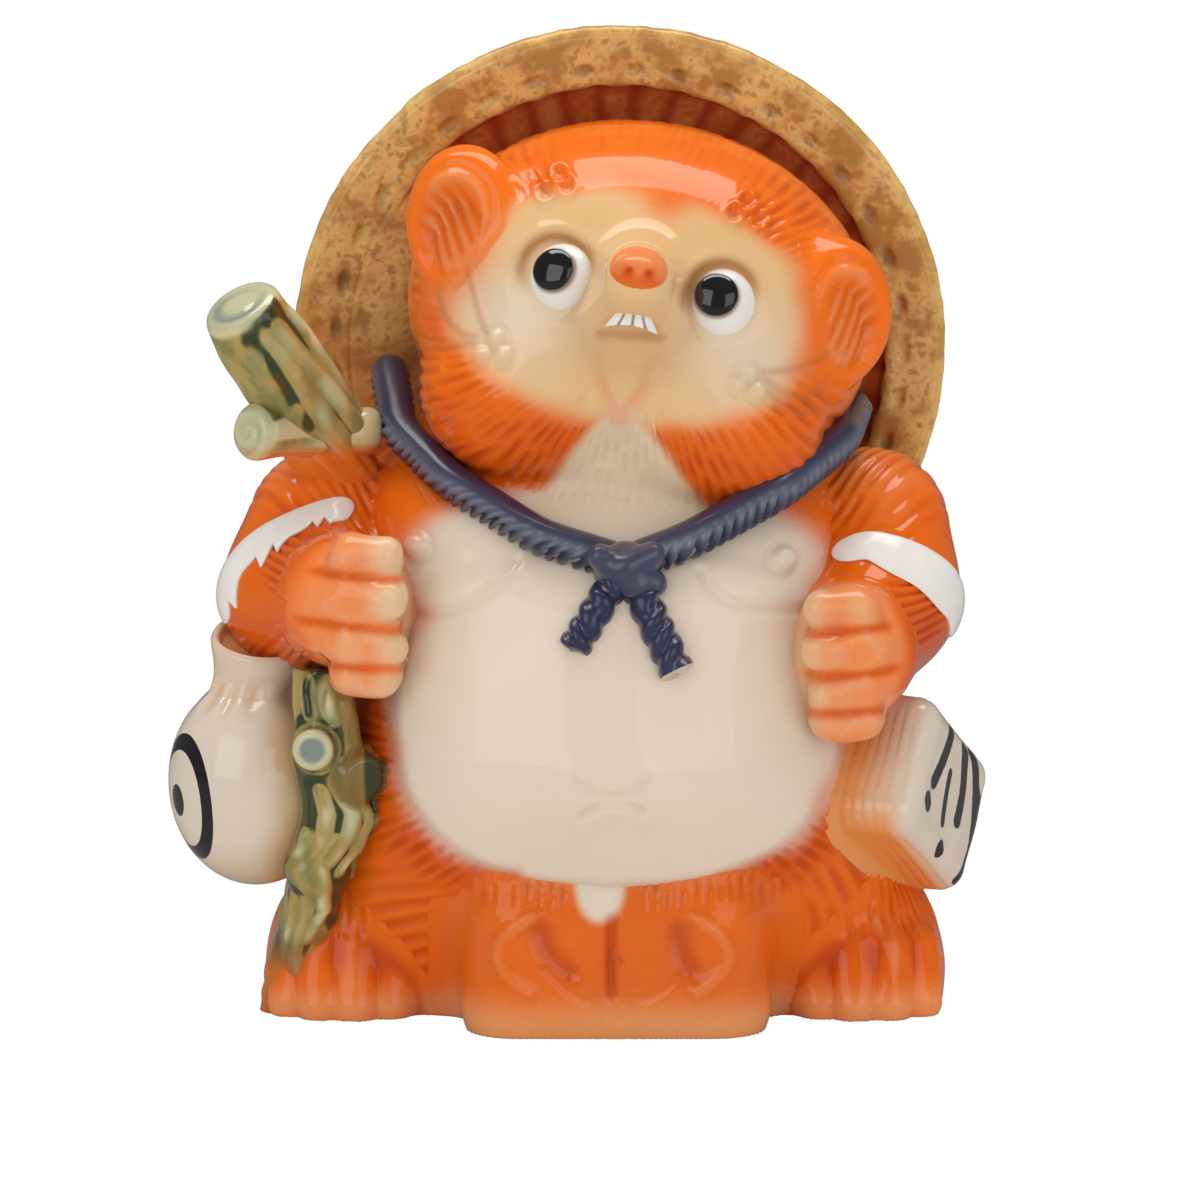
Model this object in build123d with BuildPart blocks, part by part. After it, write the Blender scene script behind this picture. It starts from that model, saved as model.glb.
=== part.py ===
"""A glazed earthenware tanuki figure, as the clay pieces that are pressed apart and luted together.

Millimetres, +Z up. The figure faces -Y, and left and right are its own, so its right side is at -X.
The origin is the middle of the foot rim, on the table. Every seam holds a thin layer of slip.
"""
import os
from math import asin, cos, radians, sin, sqrt

from build123d import *

os.makedirs("parts", exist_ok=True)

# Clay
wall = 5.0
slip = 0.3
overrun = 1.0

# Body, as oval stations from the foot rim to the neck
hem_half_width = 71.0
hem_front = 30.0
hem_back = 48.0
hip_height = 24.0
hip_half_width = 71.0
hip_front = 45.0
hip_back = 54.0
belly_height = 58.0
belly_half_width = 62.0
belly_front = 63.0
belly_back = 54.0
chest_height = 94.0
chest_half_width = 57.0
chest_front = 53.0
chest_back = 47.0
shoulder_height = 117.0
shoulder_half_width = 56.0
shoulder_front = 41.0
shoulder_back = 40.0
neck_height = 134.0
neck_half_width = 40.0
neck_front = 20.5
neck_back = 30.0

# Floor slab inside the foot rim
slab_thickness = 6.0
vent_radius = 4.0

# Head, an egg on its side that leans towards the figure's left
head_x = 8.0
head_y = -8.0
head_above_neck = 21.8
head_half_width = 52.0
head_radius = 42.0
head_lean = 9.0

# Jowls, two eggs that swell out of the lower face
jowl_half_width = 24.0
jowl_radius = 22.0
jowl_right_side = -22.0
jowl_left_side = 19.0
jowl_forward = 17.0
jowl_down = 21.0

# Straw hat behind the head
hat_radius = 73.5
hat_left_of_head = -4.6
hat_behind_head = 18.0
hat_below_head = 10.5
hat_tip_back = 8.0
hat_rim = 6.0
hat_brim = 14.0
hat_step = 5.0
hat_depth = 34.0
hat_wall = 6.0
hat_crown_radius = 12.0

# Ears, set on the sides of the head
ear_radius = 14.5
ear_thickness = 11.0
ear_bowl = 9.5
ear_out = 41.0
ear_right_up = 15.0
ear_left_up = 9.0
ear_turn = 20.0
ear_forward = 18.0

# Snout, jaw, nose and teeth
snout_radius = 11.0
snout_tip_radius = 8.5
snout_reach = 11.0
snout_side = -2.0
snout_up = 8.0
jaw_radius = 9.5
jaw_tip_radius = 7.0
jaw_drop = 6.0
jaw_reach = 6.0
nose_half_width = 5.6
nose_radius = 4.0
nose_up = 4.5
teeth_half_width = 5.6
teeth_height = 5.4
teeth_thickness = 4.0
teeth_drop = 8.6
teeth_gap = 0.4

# Eyes, which look up to the figure's right
eye_radius = 8.2
eye_sunk = 5.0
eye_apart = 35.8
eye_up = 7.5
pupil_radius = 5.4
pupil_proud = 1.3
gaze_side = -2.2
gaze_up = 1.6

# Arms
shoulder_ball = 18.0
elbow_ball = 17.0
forearm_ball = 16.5
wrist_ball = 15.0
shoulder_right_out = 6.0
shoulder_left_out = 3.0
shoulder_drop = 10.0
shoulder_forward = 4.0
elbow_right_out = 9.5
elbow_left_out = 3.0
elbow_drop = 1.0
elbow_forward = 12.0
wrist_right_out = 0.0
wrist_left_out = -3.5
wrist_forward = 34.0
wrist_right_up = 1.0
wrist_left_up = -10.0

# Hands, each a thumb and three curled fingers over a palm
finger_radius = 5.4
finger_pitch = 9.1
finger_drop = 2.0
finger_length = 8.5
finger_forward = 12.0
palm_radius = 12.0
fingers = 4

# Straps over the forearms
strap_width = 7.0
strap_thickness = 1.6
strap_share = 0.45
strap_drop = 5.0

# Flask at the right hip
flask_radius = 19.5
flask_half_height = 23.0
flask_sunk = 5.5
flask_forward = 18.0
flask_below_elbow = 41.0
flask_neck_radius = 9.0
flask_lip_radius = 10.5
flask_neck_height = 12.0
flask_mouth = 5.0
flask_lip_wall = 2.5

# Account book at the left hip
ledger_length = 41.0
ledger_width = 33.0
ledger_thickness = 20.0
ledger_corner = 3.0
ledger_out = 12.5
ledger_forward = 23.0
ledger_below_elbow = 44.0
ledger_turn = 63.0
ledger_slope = 32.0

# Knotty staff
staff_radius = 9.0
staff_waist = 7.5
staff_rise = 42.0
staff_out = 24.0
staff_forward = 31.0
staff_root_out = 4.0
staff_root_forward = 10.0
staff_root_rise = 4.0
stub_radius = 5.8
stub_out = 23.0
stub_length = 26.0
stub_forward = 24.0
stub_rise = 13.0
staff_foot_radius = 8.5
staff_foot_below_elbow = 19.0
staff_foot_top_out = 3.0
staff_foot_top_forward = 34.0
staff_foot_out = -2.0
staff_foot_forward = 16.0
staff_knot_radius = 4.6
staff_knots = ((0.15, 0.0, -14.5, 1.5), (0.24, 11.0, -13.5, 1.5))

# Rope collar
rope_radius = 4.2
rope_right_span = 56.8
rope_left_span = 48.2
rope_end_back = 14.0
rope_right_drop = 12.4
rope_left_drop = 22.3
rope_right_bend_out = 34.0
rope_right_bend_below_neck = 13.5
rope_right_proud = 4.0
rope_left_bend_out = 35.0
rope_left_bend_below_neck = 19.0
rope_left_proud = 6.0
knot_below_shoulder = 13.0
knot_x = 4.5
knot_out = 1.5
knot_half_width = 8.0
knot_radius = 6.0
rope_end_radius = 3.4
rope_end_right_drop = 17.0
rope_end_left_drop = 22.0
rope_end_right_side = -11.0
rope_end_left_side = 11.0

# Feet, money bag and tail
foot_half_width = 19.0
foot_half_length = 22.0
foot_height = 26.0
foot_sunk = 14.0
foot_forward = 8.0
toe_radius = 5.2
toe_pitch = 8.0
toes = 4
bag_half_width = 34.0
bag_depth = 43.0
bag_height = 37.5
bag_corner = 13.0
bag_edge = 12.0
bag_side = 2.4
bag_proud = 22.5
bag_crease = 1.6
bag_crease_low = 10.0
bag_crease_high = 27.0
tail_root_radius = 15.0
tail_tip_radius = 8.0
tail_root_height = 15.0
tail_tip_height = 54.0
tail_side = 20.0
tail_proud = 3.0

heights = (0.0, hip_height, belly_height, chest_height, shoulder_height, neck_height)
half_widths = (
    hem_half_width,
    hip_half_width,
    belly_half_width,
    chest_half_width,
    shoulder_half_width,
    neck_half_width,
)
fronts = (hem_front, hip_front, belly_front, chest_front, shoulder_front, neck_front)
backs = (hem_back, hip_back, belly_back, chest_back, shoulder_back, neck_back)


def body_size(height, sizes):
    """A half width or a depth of the body at a height, between its stations."""
    stations = list(zip(heights, sizes))
    for (low, low_size), (high, high_size) in zip(stations, stations[1:]):
        if height <= high:
            return low_size + (height - low) / (high - low) * (high_size - low_size)
    return sizes[-1]


def body_form(grow, past_ends=0.0):
    """The whole body as one oval loft, grown by a layer and run past its two ends."""
    with BuildPart() as form:
        for height, half_width, front, back in zip(heights, half_widths, fronts, backs):
            end = {0.0: -past_ends, neck_height: past_ends}.get(height, 0.0)
            with BuildSketch(Plane.XY.offset(height + end)):
                with BuildLine():
                    EllipticalCenterArc((0, 0), half_width + grow, front + grow, 180, arc_size=180)
                    EllipticalCenterArc((0, 0), half_width + grow, back + grow, 0, arc_size=180)
                make_face()
        loft()
    return form.part


def egg(plane, half_length, radius):
    """A solid egg, round about the plane's X axis."""
    with BuildPart() as form:
        with BuildSketch(plane):
            with BuildLine():
                EllipticalCenterArc((0, 0), half_length, radius, 0, arc_size=90)
                EllipticalCenterArc((0, 0), half_length, radius, 90, arc_size=90)
                Line((-half_length, 0), (half_length, 0))
            make_face()
        revolve(axis=Axis(plane.origin, plane.x_dir))
    return form.part


def plane_along(start, end):
    """A plane at start whose X axis points to end."""
    direction = Vector(end) - Vector(start)
    side = direction.cross(Vector(0.3, 1, 0.2))
    return Plane(origin=start, x_dir=direction, z_dir=side)


def ball_limb(start, start_radius, end, end_radius):
    """A round limb between two balls, with the straight side that touches both."""
    length = (Vector(end) - Vector(start)).length
    slope = asin((start_radius - end_radius) / length)
    plane = plane_along(start, end)
    turn = (slope + radians(90)) / 2
    with BuildPart() as form:
        with BuildSketch(plane):
            with BuildLine():
                near = (start_radius * sin(slope), start_radius * cos(slope))
                far = (length + end_radius * sin(slope), end_radius * cos(slope))
                start_mid = (-start_radius * cos(turn), start_radius * sin(turn))
                end_turn = (radians(90) - slope) / 2
                end_mid = (length + end_radius * cos(end_turn), end_radius * sin(end_turn))
                ThreePointArc((-start_radius, 0), start_mid, near)
                Line(near, far)
                ThreePointArc(far, end_mid, (length + end_radius, 0))
                Line((length + end_radius, 0), (-start_radius, 0))
            make_face()
        revolve(axis=Axis(plane.origin, plane.x_dir))
    return form.part


def branch(start, start_radius, end, end_radius):
    """A straight round branch with sawn flat ends."""
    length = (Vector(end) - Vector(start)).length
    plane = plane_along(start, end)
    with BuildPart() as form:
        with BuildSketch(plane):
            with BuildLine():
                Polyline((0, 0), (0, start_radius), (length, end_radius), (length, 0), close=True)
            make_face()
        revolve(axis=Axis(plane.origin, plane.x_dir))
    return form.part


def finish(piece, name):
    """Label a finished piece and write it."""
    piece.part.label = name
    export_step(piece.part, f"parts/{name}.step")


# Body shells and floor slab
with BuildPart() as body_front:
    add(body_form(0))
    add(body_form(-wall, past_ends=overrun), mode=Mode.SUBTRACT)
    split(bisect_by=Plane.XZ.offset(slip / 2), keep=Keep.TOP)
finish(body_front, "body_front")

with BuildPart() as body_back:
    add(body_form(0))
    add(body_form(-wall, past_ends=overrun), mode=Mode.SUBTRACT)
    split(bisect_by=Plane.XZ.offset(-slip / 2), keep=Keep.BOTTOM)
finish(body_back, "body_back")

with BuildPart() as base_slab:
    with BuildSketch():
        inset = wall + slip
        with BuildLine():
            EllipticalCenterArc((0, 0), hem_half_width - inset, hem_front - inset, 180, arc_size=180)
            EllipticalCenterArc((0, 0), hem_half_width - inset, hem_back - inset, 0, arc_size=180)
        make_face()
    extrude(amount=slab_thickness)
    add(body_form(-inset, past_ends=overrun), mode=Mode.INTERSECT)
    Hole(vent_radius)
finish(base_slab, "base_slab")

body_seat = body_form(slip, past_ends=slip)

# Head, hollow, with the opening below that goes over the neck
head_z = neck_height + head_above_neck
lean = radians(head_lean)
head_plane = Plane(
    origin=(head_x, head_y, head_z),
    x_dir=(cos(lean), 0, -sin(lean)),
    z_dir=(sin(lean), 0, cos(lean)),
)


def head_form(grow):
    """The egg of the head with its two jowls, grown by a layer."""
    with BuildPart() as form:
        add(egg(head_plane, head_half_width + grow, head_radius + grow))
        for side in (jowl_right_side, jowl_left_side):
            middle = head_plane.from_local_coords(Vector(side, -jowl_forward, -jowl_down))
            jowl_plane = Plane(origin=middle, x_dir=head_plane.x_dir, z_dir=head_plane.z_dir)
            add(egg(jowl_plane, jowl_half_width + grow, jowl_radius + grow))
    return form.part


def on_head(side, up, out=0.0):
    """A point of the head's front, by its place across and up the face, moved straight out."""
    depth = sqrt(1 - (side / head_half_width) ** 2 - (up / head_radius) ** 2) * head_radius
    return head_plane.from_local_coords(Vector(side, -depth - out, up))


def head_normal(side, up):
    """The direction that the head's surface faces at such a point."""
    depth = sqrt(1 - (side / head_half_width) ** 2 - (up / head_radius) ** 2) * head_radius
    local = Vector(side / head_half_width**2, -depth / head_radius**2, up / head_radius**2)
    return (head_plane.from_local_coords(local) - head_plane.origin).normalized()


with BuildPart() as head:
    add(head_form(0))
    add(head_form(-wall), mode=Mode.SUBTRACT)
    add(body_seat, mode=Mode.SUBTRACT)
finish(head, "head")

head_seat = head_form(slip)

# Straw hat, a turned cone whose underside faces forward
tip = radians(hat_tip_back)
hat_plane = Plane(
    origin=(head_x + hat_left_of_head, head_y + hat_behind_head, head_z - hat_below_head),
    x_dir=(0, cos(tip), sin(tip)),
    z_dir=(1, 0, 0),
)


def hat_form(grow):
    """The turned hat, grown by a layer: a cone that ends in a ball, with a stepped brim below."""
    rim_middle = hat_radius - hat_rim / 2
    rim_back = hat_rim + grow
    crown = hat_crown_radius + grow
    crown_middle = hat_depth - hat_crown_radius
    to_crown = sqrt((crown_middle - rim_back) ** 2 + rim_middle**2)
    cone_turn = asin((crown_middle - rim_back) / to_crown) + asin(crown / to_crown)
    cone_end = (crown_middle + crown * cos(cone_turn), crown * sin(cone_turn))
    cap_middle = (crown_middle + crown * cos(cone_turn / 2), crown * sin(cone_turn / 2))
    step_radius = hat_radius - hat_brim - grow
    with BuildPart() as form:
        with BuildSketch(hat_plane):
            with BuildLine():
                ThreePointArc((-grow, rim_middle), (hat_rim / 2, hat_radius + grow), (rim_back, rim_middle))
                Line((rim_back, rim_middle), cone_end)
                ThreePointArc(cone_end, cap_middle, (crown_middle + crown, 0))
                Polyline(
                    (crown_middle + crown, 0),
                    (hat_depth - hat_wall - grow, 0),
                    (hat_step - grow, step_radius),
                    (hat_rim / 4 - grow, step_radius),
                    (-grow, rim_middle),
                )
            make_face()
        revolve(axis=Axis(hat_plane.origin, hat_plane.x_dir))
    return form.part


with BuildPart() as straw_hat:
    add(hat_form(0))
    add(head_seat, mode=Mode.SUBTRACT)
    add(body_seat, mode=Mode.SUBTRACT)
finish(straw_hat, "straw_hat")

hat_seat = hat_form(slip)

# Arms, each an upper arm and a forearm
shoulder_z = shoulder_height - shoulder_drop
elbow_z = chest_height - elbow_drop


def arm_points(side, shoulder_out, elbow_out, wrist_out, wrist_up):
    """The centres of the shoulder, the elbow and the wrist."""
    shoulder = (side * (shoulder_half_width + shoulder_out), -shoulder_forward, shoulder_z)
    elbow = (side * (chest_half_width + elbow_out), -elbow_forward, elbow_z)
    wrist = (side * (chest_half_width + wrist_out), -wrist_forward, elbow_z + wrist_up)
    return shoulder, elbow, wrist


def arm_form(points, grow):
    """The two limbs of an arm, grown by a layer."""
    shoulder, elbow, wrist = points
    with BuildPart() as form:
        add(ball_limb(shoulder, shoulder_ball + grow, elbow, elbow_ball + grow))
        add(ball_limb(elbow, forearm_ball + grow, wrist, wrist_ball + grow))
    return form.part


right_arm = arm_points(-1, shoulder_right_out, elbow_right_out, wrist_right_out, wrist_right_up)
left_arm = arm_points(1, shoulder_left_out, elbow_left_out, wrist_left_out, wrist_left_up)

for name, points in (("arm_right", right_arm), ("arm_left", left_arm)):
    with BuildPart() as arm:
        add(arm_form(points, 0))
        for seat in (head_seat, hat_seat, body_seat):
            add(seat, mode=Mode.SUBTRACT)
    finish(arm, name)

arm_right_seat = arm_form(right_arm, slip)
arm_left_seat = arm_form(left_arm, slip)


def hand_form(points, side, grow):
    """A palm ball with a thumb and three fingers, stacked, that curl towards the belly."""
    wrist = Vector(points[2])
    palm = wrist + Vector(0, -finger_forward / 2, 0)
    with BuildPart() as form:
        add(ball_limb(wrist, palm_radius + grow, palm, palm_radius + grow - slip))
        for row in range(fingers):
            up = (row - (fingers - 1) / 2) * finger_pitch - finger_drop
            knuckle = wrist + Vector(side * finger_length / 3, -finger_forward, up)
            fingertip = knuckle + Vector(-side * finger_length, -finger_forward / 4, 0)
            add(ball_limb(knuckle, finger_radius + grow, fingertip, finger_radius + grow - slip))
    return form.part


for name, points, side, arm_seat in (
    ("hand_right", right_arm, -1, arm_right_seat),
    ("hand_left", left_arm, 1, arm_left_seat),
):
    with BuildPart() as hand:
        add(hand_form(points, side, 0))
        for seat in (arm_seat, body_seat):
            add(seat, mode=Mode.SUBTRACT)
    finish(hand, name)

hand_right_seat = hand_form(right_arm, -1, slip)
hand_left_seat = hand_form(left_arm, 1, slip)

# Feet, each a low dome with a row of toes, then the money bag and the tail
def foot_form(side, grow):
    """A dome beside the body's rim with toes along its front, flat where it stands."""
    middle = side * (hem_half_width - foot_sunk)
    plane = Plane(origin=(middle, -foot_forward, foot_height - foot_half_width), x_dir=(0, 1, 0))
    toe_y = -foot_forward - foot_half_length + toe_radius
    with BuildPart() as form:
        add(egg(plane, foot_half_length + grow, foot_half_width + grow))
        for row in range(toes):
            toe_x = middle + (row - (toes - 1) / 2) * toe_pitch
            knuckle = (toe_x, toe_y + toe_radius, 2 * toe_radius)
            add(ball_limb(knuckle, toe_radius + grow, (toe_x, toe_y, toe_radius), toe_radius + grow - slip))
        split(bisect_by=Plane.XY, keep=Keep.TOP)
    return form.part


foot_seats = []
for name, side in (("foot_right", -1), ("foot_left", 1)):
    with BuildPart() as foot:
        add(foot_form(side, 0))
        add(body_seat, mode=Mode.SUBTRACT)
    finish(foot, name)
    foot_seats.append(foot_form(side, slip))


with BuildPart() as money_bag:
    bag_front = -hem_front - bag_proud
    with BuildSketch():
        with Locations((bag_side, bag_front + bag_depth / 2)):
            RectangleRounded(2 * bag_half_width, bag_depth, bag_corner)
    extrude(amount=bag_height)
    fillet(money_bag.edges().group_by(Axis.Z)[-1], bag_edge)
    crease_end = (bag_side, bag_front, bag_crease_high)
    add(
        ball_limb((bag_side, bag_front, bag_crease_low), bag_crease, crease_end, bag_crease - slip),
        mode=Mode.SUBTRACT,
    )
    for seat in [body_seat] + foot_seats:
        add(seat, mode=Mode.SUBTRACT)
finish(money_bag, "money_bag")

with BuildPart() as tail:
    root = (0, body_size(tail_root_height, backs) - tail_proud, tail_root_height)
    tail_tip = (tail_side, body_size(tail_tip_height, backs), tail_tip_height)
    add(ball_limb(root, tail_root_radius, tail_tip, tail_tip_radius))
    split(bisect_by=Plane.XY, keep=Keep.TOP)
    add(body_seat, mode=Mode.SUBTRACT)
finish(tail, "tail")

# Flask at the right hip
flask_z = elbow_z - flask_below_elbow
flask_middle = (-(body_size(flask_z, half_widths) + flask_radius - flask_sunk), -flask_forward, flask_z)
flask_plane = Plane(origin=flask_middle, x_dir=(0, 0, 1), z_dir=(1, 0, 0))


def flask_form(grow):
    """The round belly of the flask, grown by a layer."""
    return egg(flask_plane, flask_half_height + grow, flask_radius + grow)


with BuildPart() as flask_body:
    add(flask_form(0))
    for seat in (body_seat, arm_right_seat, hand_right_seat, foot_seats[0]):
        add(seat, mode=Mode.SUBTRACT)
finish(flask_body, "flask_body")

flask_seat = flask_form(slip)


def neck_form(grow):
    """The short neck with its flared lip and blind mouth, grown by a layer."""
    lip = flask_half_height + flask_neck_height
    inner = lip - flask_mouth + grow
    with BuildPart() as form:
        with BuildSketch(flask_plane):
            with BuildLine():
                Polyline(
                    (flask_half_height / 2, 0),
                    (flask_half_height / 2, flask_neck_radius + grow),
                    (lip - flask_mouth, flask_neck_radius + grow),
                    (lip + grow, flask_lip_radius + grow),
                    (lip + grow, flask_lip_radius - flask_lip_wall - grow),
                    (inner, flask_neck_radius - flask_lip_wall - grow),
                    (inner, 0),
                    close=True,
                )
            make_face()
        revolve(axis=Axis(flask_plane.origin, flask_plane.x_dir))
    return form.part


with BuildPart() as flask_neck:
    add(neck_form(0))
    for seat in (flask_seat, body_seat, arm_right_seat, hand_right_seat):
        add(seat, mode=Mode.SUBTRACT)
finish(flask_neck, "flask_neck")

# Account book at the left hip, turned outwards, with its long side sloping down and back
book_turn = radians(ledger_turn)
ledger_z = elbow_z - ledger_below_elbow
ledger_x = body_size(ledger_z, half_widths) + ledger_out
cover_facing = Vector(sin(book_turn), -cos(book_turn), 0)
cover_across = Vector(cos(book_turn), sin(book_turn), 0)
book_slope = radians(ledger_slope)
cover_plane = Plane(
    origin=(ledger_x, -ledger_forward, ledger_z),
    x_dir=cover_across * cos(book_slope) - Vector(0, 0, sin(book_slope)),
    z_dir=cover_facing,
)


def ledger_form(grow):
    """The closed book behind its cover plane, grown by a layer."""
    with BuildPart() as form:
        with BuildSketch(cover_plane.offset(grow)):
            RectangleRounded(ledger_length + 2 * grow, ledger_width + 2 * grow, ledger_corner + grow)
        extrude(amount=-(ledger_thickness + 2 * grow))
    return form.part


with BuildPart() as ledger:
    add(ledger_form(0))
    for seat in (body_seat, arm_left_seat, hand_left_seat, foot_seats[1]):
        add(seat, mode=Mode.SUBTRACT)
finish(ledger, "ledger")

# Foot of the staff, below the hand
def staff_foot_form(grow):
    """The staff from under the hand to the table, with the two knots of its branches, grown by a layer."""
    top_z = elbow_z - staff_foot_below_elbow
    top = (-(body_size(top_z, half_widths) + staff_foot_top_out), -staff_foot_top_forward, top_z)
    end = (-(hem_half_width + staff_foot_out), -staff_foot_forward, 0)
    with BuildPart() as form:
        add(ball_limb(top, staff_foot_radius + grow, end, staff_foot_radius + grow - slip))
        for share, across, forward, up in staff_knots:
            root = Vector(top) + (Vector(end) - Vector(top)) * share
            sawn = root + Vector(across, forward, up)
            add(branch(root, staff_knot_radius + grow, sawn, staff_knot_radius + grow))
        split(bisect_by=Plane.XY, keep=Keep.TOP)
    return form.part


with BuildPart() as staff_foot:
    add(staff_foot_form(0))
    for seat in (body_seat, arm_right_seat, hand_right_seat, flask_seat, foot_seats[0]):
        add(seat, mode=Mode.SUBTRACT)
finish(staff_foot, "staff_foot")

# Straps of flask and book, each a band over the forearm
neck_seat = neck_form(slip)
for name, points, neighbours in (
    ("flask_cord", right_arm, (hand_right_seat, flask_seat, neck_seat, staff_foot_form(slip))),
    ("ledger_cord", left_arm, (hand_left_seat, ledger_form(slip))),
):
    elbow, wrist = Vector(points[1]), Vector(points[2])
    forearm = (wrist - elbow).length
    taper = asin((forearm_ball - wrist_ball) / forearm)
    forearm_plane = plane_along(elbow, wrist)
    across = (wrist - elbow).cross(Vector(0, 0, 1))
    above = across.cross(wrist - elbow)
    back, front = (forearm * strap_share + edge * strap_width / 2 for edge in (-1, 1))
    back_radius, front_radius = ((forearm_ball - x * sin(taper)) / cos(taper) + slip for x in (back, front))
    with BuildPart() as strap:
        with BuildSketch(forearm_plane):
            with BuildLine():
                Polyline(
                    (back, back_radius),
                    (back, back_radius + strap_thickness),
                    (front, front_radius + strap_thickness),
                    (front, front_radius),
                    close=True,
                )
            make_face()
        revolve(axis=Axis(forearm_plane.origin, forearm_plane.x_dir))
        split(bisect_by=Plane(origin=elbow - Vector(0, 0, strap_drop), x_dir=across, z_dir=above))
        add(ball_limb(points[0], shoulder_ball + slip, elbow, elbow_ball + slip), mode=Mode.SUBTRACT)
        for seat in (body_seat,) + neighbours:
            add(seat, mode=Mode.SUBTRACT)
    finish(strap, name)

# Head of the staff and the two sawn stubs of its side branch
staff_root = (
    -(shoulder_half_width + staff_root_out),
    -staff_root_forward,
    shoulder_height + staff_root_rise,
)
staff_head = (-(shoulder_half_width + staff_out), -staff_forward, shoulder_height + staff_rise)
with BuildPart() as staff_top:
    add(branch(staff_root, staff_waist, staff_head, staff_radius))
    for seat in (body_seat, head_seat, hat_seat, arm_right_seat):
        add(seat, mode=Mode.SUBTRACT)
finish(staff_top, "staff_top")

stub_end = (-(shoulder_half_width + stub_out), -stub_forward, shoulder_height + stub_rise)
stub_root = (stub_end[0] + stub_length, -staff_root_forward, stub_end[2])
staff_seat = branch(staff_root, staff_waist + slip, staff_head, staff_radius + slip)
with BuildPart() as staff_stubs:
    add(branch(stub_root, stub_radius, stub_end, stub_radius))
    for seat in (staff_seat, body_seat, head_seat, hat_seat, arm_right_seat):
        add(seat, mode=Mode.SUBTRACT)
finish(staff_stubs, "staff_stubs")

# Rope collar: two halves that come forward from the hat and meet at the knot
knot_z = shoulder_height - knot_below_shoulder
knot_middle = (knot_x, -(body_size(knot_z, fronts) + knot_out), knot_z)


def rope_form(side, span, drop, bend_out, bend_below_neck, proud):
    """One half of the collar, bent to an arc from under the hat, over the chest to the knot."""
    top = (head_x + side * span, head_y + rope_end_back, head_z - drop)
    bend_z = neck_height - bend_below_neck
    round_chest = sqrt(1 - (bend_out / body_size(bend_z, half_widths)) ** 2)
    bend_y = -body_size(bend_z, fronts) * round_chest - proud
    with BuildPart() as form:
        with BuildLine():
            path = ThreePointArc(top, (side * bend_out, bend_y, bend_z), knot_middle)
        with BuildSketch(Plane(origin=path @ 0, z_dir=path % 0)):
            Circle(rope_radius)
        sweep()
    return form.part


knot_plane = Plane(origin=knot_middle, x_dir=(1, 0, 0), z_dir=(0, -1, 0))


def knot_form(grow):
    """The knot as a small egg, grown by a layer."""
    return egg(knot_plane, knot_half_width + grow, knot_radius + grow)


with BuildPart() as rope_knot:
    add(knot_form(0))
    for seat in (body_seat, head_seat):
        add(seat, mode=Mode.SUBTRACT)
finish(rope_knot, "rope_knot")

knot_seat = knot_form(slip)
right_run = (
    rope_right_span,
    rope_right_drop,
    rope_right_bend_out,
    rope_right_bend_below_neck,
    rope_right_proud,
)
left_run = (rope_left_span, rope_left_drop, rope_left_bend_out, rope_left_bend_below_neck, rope_left_proud)
stub_seat = branch(stub_root, stub_radius + slip, stub_end, stub_radius + slip)
for name, side, run, neighbours in (
    ("rope_right", -1, right_run, (arm_right_seat, stub_seat, staff_seat)),
    ("rope_left", 1, left_run, (arm_left_seat,)),
):
    with BuildPart() as rope:
        add(rope_form(side, *run))
        for seat in (body_seat, head_seat, hat_seat, knot_seat) + neighbours:
            add(seat, mode=Mode.SUBTRACT)
    finish(rope, name)


def rope_end_form(side, drop, grow):
    """A loose end from the knot down the belly, grown by a layer."""
    end_z = knot_z - drop
    end_point = (knot_x + side, -body_size(end_z, fronts), end_z)
    return ball_limb(knot_middle, rope_end_radius + grow, end_point, rope_end_radius + grow - slip)


with BuildPart() as rope_end_left:
    add(rope_end_form(rope_end_left_side, rope_end_left_drop, 0))
    for seat in (body_seat, knot_seat):
        add(seat, mode=Mode.SUBTRACT)
finish(rope_end_left, "rope_end_left")

with BuildPart() as rope_end_right:
    add(rope_end_form(rope_end_right_side, rope_end_right_drop, 0))
    for seat in (body_seat, knot_seat, rope_end_form(rope_end_left_side, rope_end_left_drop, slip)):
        add(seat, mode=Mode.SUBTRACT)
finish(rope_end_right, "rope_end_right")

# Ears, dished in front
for name, side, up in (("ear_right", -1, ear_right_up), ("ear_left", 1, ear_left_up)):
    with BuildPart() as ear:
        turn = radians(ear_turn)
        facing = Vector(side * sin(turn), -cos(turn), 0)
        middle = head_plane.from_local_coords(Vector(side * ear_out, -ear_forward, up))
        dish = middle + facing * ear_thickness / 2
        add(egg(Plane(origin=middle, x_dir=facing, z_dir=(0, 0, 1)), ear_thickness / 2, ear_radius))
        add(
            egg(Plane(origin=dish, x_dir=facing, z_dir=(0, 0, 1)), ear_thickness / 3, ear_bowl),
            mode=Mode.SUBTRACT,
        )
        for seat in (head_seat, hat_seat):
            add(seat, mode=Mode.SUBTRACT)
    finish(ear, name)


# Snout and jaw, nose and teeth
def muzzle_form(grow):
    """Snout and lower jaw as two short limbs out of the face, grown by a layer."""
    with BuildPart() as form:
        for up, reach, start_radius, end_radius in (
            (snout_up, snout_reach, snout_radius, snout_tip_radius),
            (-jaw_drop, jaw_reach, jaw_radius, jaw_tip_radius),
        ):
            root = on_head(snout_side, up, -start_radius)
            front = on_head(snout_side, up, reach - end_radius)
            add(ball_limb(root, start_radius + grow, front, end_radius + grow))
    return form.part


with BuildPart() as muzzle:
    add(muzzle_form(0))
    for seat in (head_seat, body_seat):
        add(seat, mode=Mode.SUBTRACT)
finish(muzzle, "muzzle")

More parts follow.
